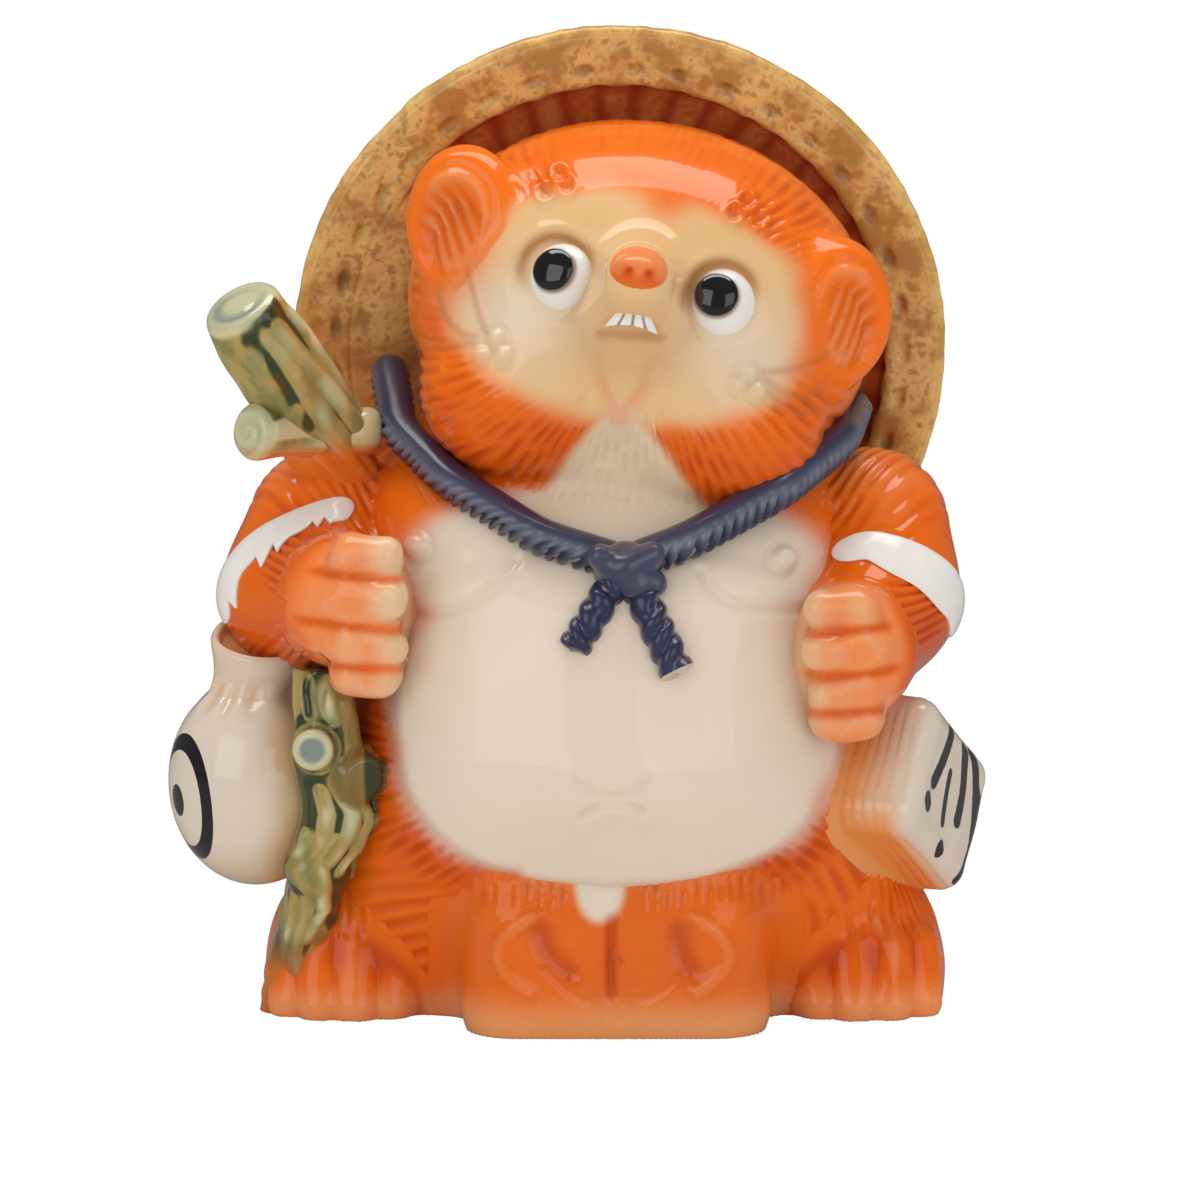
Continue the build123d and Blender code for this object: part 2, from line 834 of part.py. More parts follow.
muzzle_seat = muzzle_form(slip)
nose_middle = on_head(snout_side, snout_up + nose_up, snout_reach - nose_radius / 2)
nose_plane = Plane(origin=nose_middle, x_dir=head_plane.x_dir)
with BuildPart() as nose:
    add(egg(nose_plane, nose_half_width, nose_radius))
    for seat in (muzzle_seat, head_seat):
        add(seat, mode=Mode.SUBTRACT)
finish(nose, "nose")

with BuildPart() as teeth:
    bite = on_head(snout_side, snout_up - teeth_drop, snout_reach - snout_tip_radius / 2)
    teeth_plane = Plane(origin=bite, x_dir=head_plane.x_dir, z_dir=(0, -1, 0))
    with BuildSketch(teeth_plane):
        with BuildLine():
            ThreePointArc((-teeth_half_width, 0), (0, teeth_height / 4), (teeth_half_width, 0))
            ThreePointArc((-teeth_half_width, 0), (0, teeth_height), (teeth_half_width, 0))
        make_face()
        with GridLocations(teeth_half_width / 2, 0, 3, 1):
            Rectangle(teeth_gap, teeth_height / 2, mode=Mode.SUBTRACT)
    extrude(amount=teeth_thickness / 2, both=True)
    for seat in (muzzle_seat, head_seat):
        add(seat, mode=Mode.SUBTRACT)
finish(teeth, "teeth")

# Eyes and pupils
for name, side in (("right", -1), ("left", 1)):
    across = side * eye_apart / 2
    outward = head_normal(across, eye_up)
    eye_middle = on_head(across, eye_up) - outward * eye_sunk
    with BuildPart() as eye:
        with Locations(eye_middle):
            Sphere(eye_radius)
        for seat in (head_seat, muzzle_seat):
            add(seat, mode=Mode.SUBTRACT)
    finish(eye, f"eye_{name}")
    gaze = (head_normal(across + gaze_side, eye_up + gaze_up) * eye_radius).normalized()
    with BuildPart() as pupil:
        with Locations(eye_middle + gaze * (eye_radius - pupil_radius + pupil_proud)):
            Sphere(pupil_radius)
        with Locations(eye_middle):
            Sphere(eye_radius + slip, mode=Mode.SUBTRACT)
        add(head_seat, mode=Mode.SUBTRACT)
    finish(pupil, f"pupil_{name}")
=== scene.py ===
"""A glazed earthenware tanuki figure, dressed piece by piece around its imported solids.

Lengths are in millimetres until a mesh is made. The figure faces -Y and its right side is at -X.
"""

import bpy
import numpy as np
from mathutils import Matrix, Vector


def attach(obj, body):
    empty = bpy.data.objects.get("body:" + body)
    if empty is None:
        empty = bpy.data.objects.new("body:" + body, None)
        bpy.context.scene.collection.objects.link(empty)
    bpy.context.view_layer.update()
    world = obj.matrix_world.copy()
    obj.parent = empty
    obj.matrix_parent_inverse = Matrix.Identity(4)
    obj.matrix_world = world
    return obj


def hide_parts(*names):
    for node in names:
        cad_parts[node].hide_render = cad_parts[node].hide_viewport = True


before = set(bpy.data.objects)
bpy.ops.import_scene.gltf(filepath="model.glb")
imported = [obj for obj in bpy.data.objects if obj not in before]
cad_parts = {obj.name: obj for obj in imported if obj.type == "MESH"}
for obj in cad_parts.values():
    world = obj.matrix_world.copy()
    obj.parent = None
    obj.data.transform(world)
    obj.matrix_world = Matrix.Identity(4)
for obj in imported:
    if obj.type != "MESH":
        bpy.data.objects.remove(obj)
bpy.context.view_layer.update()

# Floor slab: a flat disc of the bare clay body, set inside the foot rim, with the vent for the kiln.
# It is never glazed, so it stays a dry buff clay with grog in it.


class Wire:
    """A socket of a finish. Sums and products of wires add Math nodes to its tree."""

    def __init__(self, tree, socket=None):
        self.tree = tree
        self.socket = socket

    def node(self, kind, settings=None, sockets=None, output=0):
        made = self.tree.nodes.new(kind)
        for name, value in (settings or {}).items():
            setattr(made, name, value)
        for name, value in (sockets or {}).items():
            if isinstance(value, Wire):
                self.tree.links.new(value.socket, made.inputs[name])
            else:
                made.inputs[name].default_value = value
        return Wire(self.tree, made.outputs[output])

    def math(self, operation, first, second):
        return self.node("ShaderNodeMath", {"operation": operation}, {0: first, 1: second})

    def __add__(self, other):
        return self.math("ADD", self, other)

    __radd__ = __add__

    def __sub__(self, other):
        return self.math("SUBTRACT", self, other)

    def __mul__(self, other):
        return self.math("MULTIPLY", self, other)

    __rmul__ = __mul__

    def step(self, low, high):
        """0 below low and 1 above high, with a smooth change between."""
        ends = {"Value": self, "From Min": low, "From Max": high}
        return self.node("ShaderNodeMapRange", {"interpolation_type": "SMOOTHSTEP"}, ends)

    def mask(self, name):
        """The painted mask of that name, from the mesh."""
        return self.node("ShaderNodeAttribute", {"attribute_name": name}, output="Fac")

    def place(self):
        return self.node("ShaderNodeTexCoord", output="Object")

    def noise(self, scale, detail=3.0, vector=None):
        """Noise about 0.5, at that many lumps a metre."""
        where = vector or self.place()
        return self.node("ShaderNodeTexNoise", None, {"Vector": where, "Scale": scale, "Detail": detail})

    def mix(self, share, first, second):
        """A colour between two others."""
        sockets = {0: share, 6: first, 7: second}
        return self.node("ShaderNodeMix", {"data_type": "RGBA", "clamp_factor": True}, sockets, 2)

    def bump(self, height, strength, distance):
        sockets = {"Height": height, "Strength": strength, "Distance": distance}
        return self.node("ShaderNodeBump", None, sockets)


def new_finish(name, **constants):
    """A material, its shader and the start of its wires."""
    made = bpy.data.materials.new(name)
    made.use_nodes = True
    shader = made.node_tree.nodes["Principled BSDF"]
    for socket, value in constants.items():
        shader.inputs[socket.replace("_", " ")].default_value = value
    return made, shader, Wire(made.node_tree)


def feed(wire, shader, **sockets):
    """Links wires to the shader's sockets."""
    for name, value in sockets.items():
        wire.tree.links.new(value.socket, shader.inputs[name.replace("_", " ")])


bare_clay, clay_shader, wire = new_finish("bare clay", Roughness=0.85)
grog = wire.noise(900.0, 2.0).step(0.6, 0.7)
buff = wire.mix(wire.noise(70.0), (0.56, 0.38, 0.24, 1), (0.66, 0.48, 0.33, 1))
feed(wire, clay_shader, Base_Color=wire.mix(grog, buff, (0.4, 0.25, 0.15, 1)))
feed(wire, clay_shader, Normal=wire.bump(wire.noise(600.0), 0.25, 0.0004))
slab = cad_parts["base_slab"]
slab.data.materials.clear()
slab.data.materials.append(bare_clay)

# Body: a hollow shell, pressed in a front and a back mould and luted along the sides. The fur is cut
# into the mould, and the orange is sprayed over a cream ground, then glazed clear.
stations = np.array(
    [
        (0.0, 71.0, 30.0, 48.0),
        (24.0, 71.0, 45.0, 54.0),
        (58.0, 62.0, 63.0, 54.0),
        (94.0, 57.0, 53.0, 47.0),
        (117.0, 56.0, 41.0, 40.0),
        (134.0, 40.0, 20.5, 30.0),
    ]
)
body_top = stations[-1, 0]


def smoothed(run, times):
    """A run of sizes or points with its corners rounded off, between fixed ends."""
    run = np.array(run, float)
    for _ in range(times):
        run[1:-1] = (run[:-2] + 2 * run[1:-1] + run[2:]) / 4
    return run


level = np.linspace(0.0, body_top, 269)
half_widths, fronts, backs = (
    smoothed(np.interp(level, stations[:, 0], sizes), 160) for sizes in stations[:, 1:].T
)


def egg_field(points, middle, axes, radii):
    """How far points lie outside an egg, about. The rows of axes are its own directions."""
    local = (points - np.asarray(middle)) @ np.asarray(axes).T
    radii = np.asarray(radii, float)
    near = np.linalg.norm(local / radii, axis=-1)
    slope = np.linalg.norm(local / radii**2, axis=-1)
    return near * (near - 1) / np.maximum(slope, 1e-6)


def limb_field(points, start, start_radius, end, end_radius):
    """How far points lie outside a round limb between two balls."""
    start, end = np.asarray(start, float), np.asarray(end, float)
    along = (points - start) @ (end - start) / ((end - start) @ (end - start))
    along = np.clip(along, 0, 1)
    off = np.linalg.norm(points - start - along[..., None] * (end - start), axis=-1)
    return off - (start_radius + along * (end_radius - start_radius))


def luted(first, second, seam):
    """Two clay forms as one, with the seam between them smoothed over that width."""
    share = np.maximum(seam - np.abs(first - second), 0) / seam
    return np.minimum(first, second) - share**2 * seam / 4


def ease(values, low, high):
    """0 below low and 1 above high, smooth between. It runs backwards if low is above high."""
    share = np.clip((values - low) / (high - low), 0, 1)
    return share * share * (3 - 2 * share)


def mound(off, width, power=2):
    """1 where off is 0, falling away to 0 over the width, with a flatter top at a higher power."""
    return np.exp(-((off / width) ** power))


def unit(way):
    """A direction, or an array of them, at length 1."""
    return way / np.linalg.norm(way, axis=-1, keepdims=True)


def clay_noise(points, lump, seed):
    """Smooth noise from -1 to 1 over points, with lumps of that size."""
    spot = points / lump
    cell = np.floor(spot).astype(np.int64)
    part = spot - cell
    part = part * part * (3 - 2 * part)
    total = np.zeros(points.shape[:-1])
    for corner in np.ndindex(2, 2, 2):
        at = cell + np.array(corner)
        code = at[..., 0] * 374761393 + at[..., 1] * 668265263 + at[..., 2] * 1274126177 + seed * 974711
        code = (code ^ (code >> 13)) * 1103515245 & 0x7FFFFFFF
        code = (code ^ (code >> 15)) * 12345 & 0x7FFFFFFF
        weight = np.prod(np.where(corner, part, 1 - part), axis=-1)
        total += weight * ((code >> 7 & 0xFFFF) / 32767.5 - 1)
    return total


def combed(across, along, pitch, length, seed):
    """Combed fur: uneven, tapering strokes, 0 on the ridges and 1 in the grooves."""
    flat = np.stack([across, along, np.full_like(across, 3.7 * seed)], axis=-1)
    bent = across / pitch + 0.9 * clay_noise(flat * (1, 0.5, 1), 6 * pitch, seed)
    bent = bent + 0.3 * clay_noise(flat, 2.5 * pitch, seed + 1)
    groove = np.round(bent)
    row = along / length + 7.1 * np.sin(groove * 12.9 + seed) + 0.4 * clay_noise(flat, 8 * pitch, seed + 2)
    weight = 0.3 + 0.7 * np.abs(np.sin(groove * 78.2 + np.floor(row) * 37.7))
    return weight * np.cos(np.pi * (bent - groove)) ** 2.4 * np.sin(np.pi * (row % 1)) ** 0.7


def stroke(points, run, width):
    """1 along a drawn line of (x, z) points on the front, falling off over the width."""
    spots = points[..., [0, 2]]
    nearest = np.full(spots.shape[:-1], 1e3)
    for start, end in zip(run, run[1:]):
        nearest = np.minimum(nearest, limb_field(spots, start, 0.0, end, 0.0))
    return mound(nearest, width) * (points[..., 1] < 0)


def bow(start, middle, end):
    """Points of a curved line through three (x, z) points."""
    share = np.linspace(0, 1, 9)[:, None]
    start, middle, end = (np.array(spot, float) for spot in (start, middle, end))
    control = 2 * middle - (start + end) / 2
    return (1 - share) ** 2 * start + 2 * share * (1 - share) * control + share**2 * end


def facing(grid):
    """Outward unit normals of a grid of points that closes round its columns."""
    down = np.gradient(grid, axis=0)
    round_ = np.roll(grid, -1, axis=1) - np.roll(grid, 1, axis=1)
    normal = np.cross(round_, down)
    normal /= np.maximum(np.linalg.norm(normal, axis=-1, keepdims=True), 1e-9)
    middle = grid.reshape(-1, 3).mean(axis=0)
    outward = np.sum(normal * (grid - middle))
    return normal if outward > 0 else -normal


def closed(rings, ends=None):
    """Rings with a point added at both ends, at the middles of the end rings if none are given."""
    first, last = (rings[0].mean(axis=0), rings[-1].mean(axis=0)) if ends is None else ends
    caps = [np.broadcast_to(spot, rings[:1].shape) for spot in (first, last)]
    return np.concatenate([caps[0], rings, caps[1]])


def repeated_ends(values):
    """Values on the rings, with those of the end rings given to the points at the ends."""
    return np.pad(values, ((1, 1), (0, 0)), "edge")


def clay_mesh(node, grid, finish, slot, **masks):
    """A closed piece in place of its solid. The first and the last ring draw together to a point."""
    rows, columns = grid.shape[:2]
    points = np.concatenate([grid[:1, 0], grid[1:-1].reshape(-1, 3), grid[-1:, 0]]) / 1000
    index = 1 + np.arange((rows - 2) * columns).reshape(rows - 2, columns)
    beside = np.roll(index, -1, axis=1)
    quads = np.stack([index[:-1], beside[:-1], beside[1:], index[1:]], axis=-1).reshape(-1, 4)
    first = np.stack([np.zeros(columns, int), beside[0], index[0]], axis=-1)
    last = np.stack([np.full(columns, len(points) - 1), index[-1], beside[-1]], axis=-1)
    corners = points[quads]
    outward = np.cross(corners[:, 2] - corners[:, 0], corners[:, 3] - corners[:, 1])
    wound = -1 if np.sum(outward * corners.mean(1)) < 0 else 1
    loops = np.concatenate([part[:, ::wound].ravel() for part in (quads, first, last)])
    sizes = np.concatenate([np.full(len(quads), 4), np.full(2 * columns, 3)])
    made = bpy.data.meshes.new("fired_" + node)
    made.vertices.add(len(points))
    made.vertices.foreach_set("co", points.astype(np.float32).ravel())
    made.loops.add(len(loops))
    made.loops.foreach_set("vertex_index", loops.astype(np.int32))
    made.polygons.add(len(sizes))
    made.polygons.foreach_set("loop_start", (np.cumsum(sizes) - sizes).astype(np.int32))
    made.polygons.foreach_set("use_smooth", np.ones(len(sizes), bool))
    row, column = np.mgrid[1 : rows - 2, 0:columns]
    spread_u = np.stack([column, column + 1, column + 1, column], axis=-1).reshape(-1, 4)
    spread_v = np.stack([row, row, row + 1, row + 1], axis=-1).reshape(-1, 4)
    ends_u = np.stack([column[0] + 0.5, column[0] + 1, column[0]], axis=-1)
    first_v = np.array([[0, 1, 1]] * columns)
    last_u, last_v = ends_u[:, [0, 2, 1]], rows - 1 - first_v
    flat_u, flat_v = (
        np.concatenate([part[:, ::wound].ravel() for part in parts])
        for parts in ((spread_u, ends_u, last_u), (spread_v, first_v, last_v))
    )
    unrolled = np.stack([flat_u / columns, flat_v / (rows - 1)], axis=-1)
    made.uv_layers.new(name="OFBake").data.foreach_set("uv", unrolled.astype(np.float32).ravel())
    for mask, values in masks.items():
        values = np.broadcast_to(values, grid.shape[:2])
        spread = np.concatenate([values[:1, 0], values[1:-1].ravel(), values[-1:, 0]])
        made.attributes.new(mask, "FLOAT", "POINT").data.foreach_set("value", spread.astype(np.float32))
    made.update(calc_edges=True)
    made.set_sharp_from_angle(angle=1.1)
    piece = bpy.data.objects.new("fired_" + node, made)
    bpy.context.collection.objects.link(piece)
    made.materials.append(finish)
    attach(piece, "root")
    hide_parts(node)


def sprayed_glaze(name):
    """Orange sprayed over cream or tan, deeper where it pools, under a clear gloss glaze."""
    made, shader, wire = new_finish(name, Coat_Weight=0.7, Coat_Roughness=0.05, Specular_IOR_Level=0.1)
    cloud = wire.noise(45.0, 4.0) - 0.5
    mist = wire.noise(1500.0, 1.0) - 0.5
    orange = wire.mix(wire.mask("deep") + cloud * 0.6, (0.9, 0.17, 0.008, 1), (0.58, 0.062, 0.001, 1))
    cream = wire.mix(cloud + 0.5, (0.72, 0.62, 0.5, 1), (0.78, 0.67, 0.54, 1))
    ground = wire.mix(wire.mask("tan"), cream, (0.79, 0.5, 0.225, 1))
    pale = (wire.mask("pale") + cloud * 0.16 + mist * 0.14).step(0.02, 0.98)
    painted = wire.mix(pale, orange, ground)
    painted = wire.mix(wire.mask("shade"), painted, (0.42, 0.15, 0.035, 1))
    feed(wire, shader, Base_Color=painted, Roughness=0.16 + wire.noise(120.0) * 0.12)
    ripple = wire.noise(260.0, 2.0)
    feed(wire, shader, Normal=wire.bump(ripple, 0.06, 0.001))
    return made


orange_glaze = sprayed_glaze("sprayed orange glaze")


def sprayed(pale, deep, tan, shade=0.0):
    """The masks of that glaze: where the ground shows, deep orange, a tan ground and brown shade."""
    return {"pale": pale, "deep": deep, "tan": tan, "shade": shade}


def body_field(points):
    """How far points lie outside the body, about."""
    height = np.clip(points[..., 2], 0, body_top)
    half_width = np.interp(height, level, half_widths)
    front, back = np.interp(height, level, fronts), np.interp(height, level, backs)
    depth = np.where(points[..., 1] < 0, front, back)
    reach = np.hypot(points[..., 0] / half_width, points[..., 1] / depth)
    return (reach - 1) * np.minimum(half_width, depth)


breasts = ((-34.0, 103.0), (33.0, 102.0))
breast_radii = (17.0, 12.5)
breast_swell = 3.0
nipples = ((-39.8, 105.5), (37.3, 102.8))
nipple_radius = 2.5
breast_folds = (
    bow((-41.0, 91.0), (-27.5, 94.0), (-19.0, 103.5)),
    bow((20.0, 101.0), (27.0, 94.0), (43.0, 92.0)),
)
navel = (bow((-5.6, 58.8), (1.5, 56.0), (8.6, 58.8)), bow((-4.4, 52.0), (1.5, 54.6), (7.6, 52.4)))
belly_middle = (2.9, 70.0)
belly_radii = (50.0, 37.0)
belly_square = 2.5
bib_middle = 3.0
bib_heights = (112.0, 118.0, 128.0, 139.0)
bib_half_widths = (22.0, 16.5, 10.0, 1.5)


def belly_polar(points):
    """How far points lie from the belly's middle, as a share of its oval, and at what angle."""
    side = np.abs(points[..., 0] - belly_middle[0]) / belly_radii[0]
    up = (points[..., 2] - belly_middle[1]) / belly_radii[1]
    reach = (side**belly_square + np.abs(up) ** belly_square) ** (1 / belly_square)
    return reach, np.arctan2(up, np.copysign(side, points[..., 0] - belly_middle[0]))


def bib_share(points):
    """1 on the pale bib between the jowls, which runs up to a point under the chin."""
    half_width = np.interp(points[..., 2], bib_heights, bib_half_widths)
    off = np.abs(points[..., 0] - bib_middle)
    inside = ease(off, half_width + 3.0, half_width - 3.0) * ease(points[..., 2], 142.0, 137.0)
    return inside * (points[..., 1] < -8)


def body_relief(points):
    """What the mould adds to the body in millimetres, and how deep the fur is cut."""
    front = ease(points[..., 1], 2.0, -10.0)
    rise = np.zeros(points.shape[:-1])
    for x, z in breasts:
        off = ((points[..., 0] - x) / breast_radii[0]) ** 2 + ((points[..., 2] - z) / breast_radii[1]) ** 2
        rise += breast_swell * front * np.exp(-(off**1.5))
    for x, z in nipples:
        off = np.hypot(points[..., 0] - x, points[..., 2] - z)
        rise += front * (1.9 * mound(off, nipple_radius, 4) - 0.5 * mound(off - nipple_radius - 1, 0.9))
    for fold in breast_folds:
        rise -= 0.9 * stroke(points, fold, 1.3)
    for crease in navel:
        rise -= 1.1 * stroke(points, crease, 1.1)
        rise += 0.6 * stroke(points, crease, 4.0)
    reach, angle = belly_polar(points)
    rise += 2.0 * front * ease(reach, 1.02, 0.9) * ease(points[..., 2], 110.0, 92.0)
    rim = ease(reach, 0.98, 1.04) * ease(reach, 1.34, 1.12) * ease(points[..., 2], 100.0, 86.0) * front
    strokes = rim * combed(angle * 46 + 2 * reach, reach * 44, 2.6, 9.0, 3)
    flank = ease(reach, 1.14, 1.3) * front * ease(points[..., 2], 112.0, 100.0)
    strokes = np.maximum(strokes, flank * combed(angle * 50 + 16 * reach, reach * 44, 3.6, 19.0, 5))
    turn = np.arctan2(points[..., 1], points[..., 0])
    behind = ease(points[..., 1], -4.0, 6.0) * ease(points[..., 2], 3.0, 9.0)
    wavy = points[..., 2] + 6 * np.sin(turn * 3)
    strokes = np.maximum(strokes, behind * combed(turn * 55, wavy, 3.6, 17.0, 7))
    return rise - (0.8 - 0.35 * behind) * strokes, strokes


def body_masks(points, strokes=0.0):
    """Where the body is pale, and where its orange is deeper."""
    front = ease(points[..., 1], -4.0, -16.0)
    reach = belly_polar(points)[0]
    belly = ease(reach + 0.05 * clay_noise(points, 9.0, 2), 1.1, 0.88)
    chest = ease(np.hypot((points[..., 0] - 1.5) / 45, (points[..., 2] - 101) / 19), 1.22, 0.86)
    bib = bib_share(points)
    low = ease(points[..., 2], 11.0, 1.5)
    pale = front * np.maximum(np.maximum(belly, chest), bib)
    pale = np.maximum(pale * (1 - 0.35 * strokes), 0.42 * low)
    deep = 0.25 + 0.5 * strokes + 0.4 * ease(reach, 1.3, 1.06) * front
    tan = np.maximum(0.06 + 0.85 * low, 0.25 * bib * ease(points[..., 2], 106.0, 114.0))
    return sprayed(pale, deep, tan, np.zeros(pale.shape))


def body_half(name, turns, rows, slot):
    """One half of the body from the foot rim to the neck, closed along the seam."""
    heights = np.concatenate([[0.0, 0.5, 1.2], np.linspace(2.2, body_top, rows)])
    inset = 1.2 * (1 - np.clip(heights / 1.8, 0, 1)) ** 2
    tables = (half_widths, fronts, backs)
    half_width, front, back = (np.interp(heights, level, table) - inset for table in tables)
    depth = np.where(np.sin(turns) < 0, front[:, None], back[:, None])
    upright = np.broadcast_to(heights[:, None], depth.shape)
    rings = np.stack([half_width[:, None] * np.cos(turns), depth * np.sin(turns), upright], axis=-1)
    rise, strokes = body_relief(rings)
    edge = ease(np.abs(np.sin(turns)), 0.0, 0.03) * ease(heights, 0.0, 4.0)[:, None]
    rings = rings + facing(rings) * (rise * edge)[..., None]
    masks = body_masks(rings, strokes * edge)
    masks = {key: repeated_ends(value) for key, value in masks.items()}
    clay_mesh(name, closed(rings), orange_glaze, slot, **masks)


body_half("body_front", np.linspace(-np.pi, 0, 400), 240, "belly_glaze")
body_half("body_back", np.linspace(0, np.pi, 330), 170, "orange_glaze")

# Feet: two solid domes pressed on at the front corners of the body, each with four toes that are
# drawn up with a finger. The orange is thick here and thins to ochre along the foot rim.
foot_place = (57.0, -8.0, 7.0)
foot_radii = (19.5, 23.0, 26.0)
toe_count = 4
toe_turn = np.radians(24.0)
toe_radius = 5.2
toe_rise = 12.0
upright_axes = np.eye(3)


def leaving(field, start, rays, reach):
    """Where rays leave a form, found by halving the stretch that holds the place."""
    near, far = np.zeros(rays.shape[:-1]), np.full(rays.shape[:-1], float(reach))
    for _ in range(14):
        halfway = (near + far) / 2
        inside = field(start + rays * halfway[..., None]) < 0
        near, far = np.where(inside, halfway, near), np.where(inside, far, halfway)
    return start + rays * near[..., None]


def cast(field, middle, pole, rows, columns, reach, crowd=1.0):
    """Rings of points where rays from the middle leave a form, from its pole round to the back."""
    pole = unit(np.asarray(pole, float))
    side = unit(np.cross(pole, (0.02, 0.05, 1.0)))
    other = np.cross(pole, side)
    tilt = (np.pi * np.linspace(0, 1, rows) ** crowd)[:, None, None]
    turn = np.linspace(0, 2 * np.pi, columns, endpoint=False)[None, :, None]
    rays = np.cos(tilt) * pole + np.sin(tilt) * (np.cos(turn) * side + np.sin(turn) * other)
    return leaving(field, np.asarray(middle, float), rays, reach)


def raised(grid, rise):
    """The grid moved out along its normals."""
    rise = np.array(np.broadcast_to(rise, grid.shape[:2]))
    rise[[0, -1]] = rise[[1, -2]].mean(axis=1, keepdims=True)
    normal = facing(grid)
    normal[0], normal[-1] = normal[1].mean(axis=0), normal[-2].mean(axis=0)
    return grid + normal * rise[..., None]


def skirted(own, ground, seam, share=0.85):
    """A form with its foot drawn out over the ground that it is luted to, for that share of the seam."""

    def field(points):
        form, under = own(points), ground(points)
        near = np.maximum(seam - np.abs(form - under), 0) / seam
        return np.maximum(np.minimum(form, under) - near**3 * seam / 6, form - share * seam)

    return field


def standing(own):
    """A form cut off at the table."""
    return lambda points: np.maximum(own(points), 0.02 - points[..., 2])


def blended(own, points, masks, under, width=3.5):
    """Masks of a piece that turn into those of the ground along its skirt."""
    share = ease(own(points), 0.3, width)
    return {key: (1 - share) * masks[key] + share * under[key] for key in masks}


def toes_field(side):
    middle = np.array([side * foot_place[0], foot_place[1], foot_place[2]])

    def field(points):
        form = np.full(points.shape[:-1], 1e3)
        for number in range(toe_count):
            turn = (number - (toe_count - 1) / 2) * toe_turn + side * 0.12
            heel = middle + (19.0 * np.sin(turn), -20.5 * np.cos(turn), -4.0)
            form = np.minimum(form, limb_field(points, heel, toe_radius, heel + (0, 3.0, toe_rise), 4.2))
        return form

    return field


def foot_form(side):
    middle = np.array([side * foot_place[0], foot_place[1], foot_place[2]])
    toes = toes_field(side)
    return lambda points: luted(egg_field(points, middle, upright_axes, foot_radii), toes(points), 3.0)


for side, name in ((-1, "foot_right"), (1, "foot_left")):
    own = foot_form(side)
    start = (side * foot_place[0], foot_place[1], 8.0)
    rings = cast(standing(skirted(own, body_field, 6.0)), start, (0, -1, 0.3), 190, 330, 50.0)
    turn = np.arctan2(rings[..., 0] - start[0], -(rings[..., 1] - start[1]))
    top = ease(rings[..., 2], 15.0, 23.0)
    strokes = top * combed(turn * 22, rings[..., 2], 3.0, 10.0, 31 + side)
    ripple = 0.35 * clay_noise(rings * (1, 1, 0.3), 3.2, 33 + side) * ease(rings[..., 2], 3.0, 8.0)
    rings = raised(rings, (ripple - 0.7 * strokes) * ease(rings[..., 2], 0.5, 3.0))
    low = ease(rings[..., 2], 12.0, 2.0)
    ahead = ease(rings[..., 1], -14.0, -22.0) * ease(rings[..., 2], 22.0, 15.0)
    between = ease(toes_field(side)(rings), 0.4, 1.6) * ahead
    worn = ease(clay_noise(rings * (1, 1, 0.35), 4.0, 35 + side), 0.1, 0.7)
    pale = np.maximum(0.42 * low, 0.25 * worn) * (1 - 0.6 * between)
    masks = sprayed(pale, 0.3 + 0.5 * strokes - 0.3 * low + 0.7 * between, 0.9)
    masks = blended(own, rings, masks, body_masks(rings))
    clay_mesh(name, rings, orange_glaze, "orange_glaze", **masks)

# Money bag: a low two-lobed pouch between the feet, pressed solid and luted under the belly, with a
# raised scroll on each lobe. Its foot carries the rim out to the front of the figure.
bag_middle = np.array([2.4, -31.0, 15.0])
bag_half = (34.0, 21.5, 22.5)
bag_round = 13.0
bag_crease = bow((1.4, 27.0), (1.2, 18.0), (1.4, 10.0))
bag_scrolls = (
    bow((-16.0, 27.0), (-23.5, 19.0), (-16.5, 10.5)),
    bow((20.5, 26.5), (27.0, 18.5), (20.0, 10.5)),
)
bag_drops = (bow((-13.5, 24.0), (-12.0, 19.0), (-8.0, 15.0)), bow((16.0, 24.0), (17.0, 19.0), (18.5, 15.5)))
bag_smiles = (bow((-13.0, 15.5), (-6.0, 9.5), (-1.5, 9.0)), bow((16.0, 14.0), (10.0, 9.5), (5.0, 9.0)))


def box_field(points, middle, axes, half, rounding):
    """How far points lie outside a block with rounded edges."""
    local = np.abs((points - np.asarray(middle)) @ np.asarray(axes).T) - (np.asarray(half) - rounding)
    outside = np.linalg.norm(np.maximum(local, 0), axis=-1)
    return outside + np.minimum(local.max(axis=-1), 0) - rounding


def bag_field(points):
    return box_field(points, bag_middle, upright_axes, bag_half, bag_round)


def bag_ground(points):
    return luted(body_field(points), luted(foot_form(-1)(points), foot_form(1)(points), 3.0), 3.0)


rings = cast(standing(skirted(bag_field, bag_ground, 9.0)), bag_middle, (0, -1, 0.1), 210, 420, 60.0)
across = np.clip((rings[..., 0] - bag_middle[0]) / bag_half[0], -1, 1)
lobes = 1.6 * (np.abs(np.sin(across * np.pi)) - 0.6)
rise = lobes * ease(rings[..., 1], -35.0, -48.0) * ease(rings[..., 2], 3.0, 9.0)
rise -= 1.3 * stroke(rings, bag_crease, 1.1)
for scroll in bag_scrolls:
    rise += 1.3 * stroke(rings, scroll, 1.9) - 0.6 * stroke(rings, scroll, 4.5)
for drop in bag_drops:
    rise -= 1.5 * stroke(rings, drop, 2.4)
for smile in bag_smiles:
    rise -= 0.5 * stroke(rings, smile, 1.0)
fringe = ease(rings[..., 2], 27.0, 33.0) * ease(np.abs(rings[..., 0]), 6.0, 9.0)
strokes = fringe * combed(rings[..., 0], rings[..., 2], 2.6, 8.0, 37)
rings = raised(rings, (rise - 0.6 * strokes) * ease(rings[..., 2], 0.6, 3.5))
low = ease(rings[..., 2], 13.0, 2.0)
hollow = sum(stroke(rings, drop, 2.6) for drop in bag_drops) + stroke(rings, bag_crease, 1.2)
thin = sum(stroke(rings, scroll, 2.0) for scroll in bag_scrolls)
tip = ease(np.hypot((rings[..., 0] + 1.1) / 6.0, (rings[..., 2] - 33) / 8.0), 1.2, 0.6)
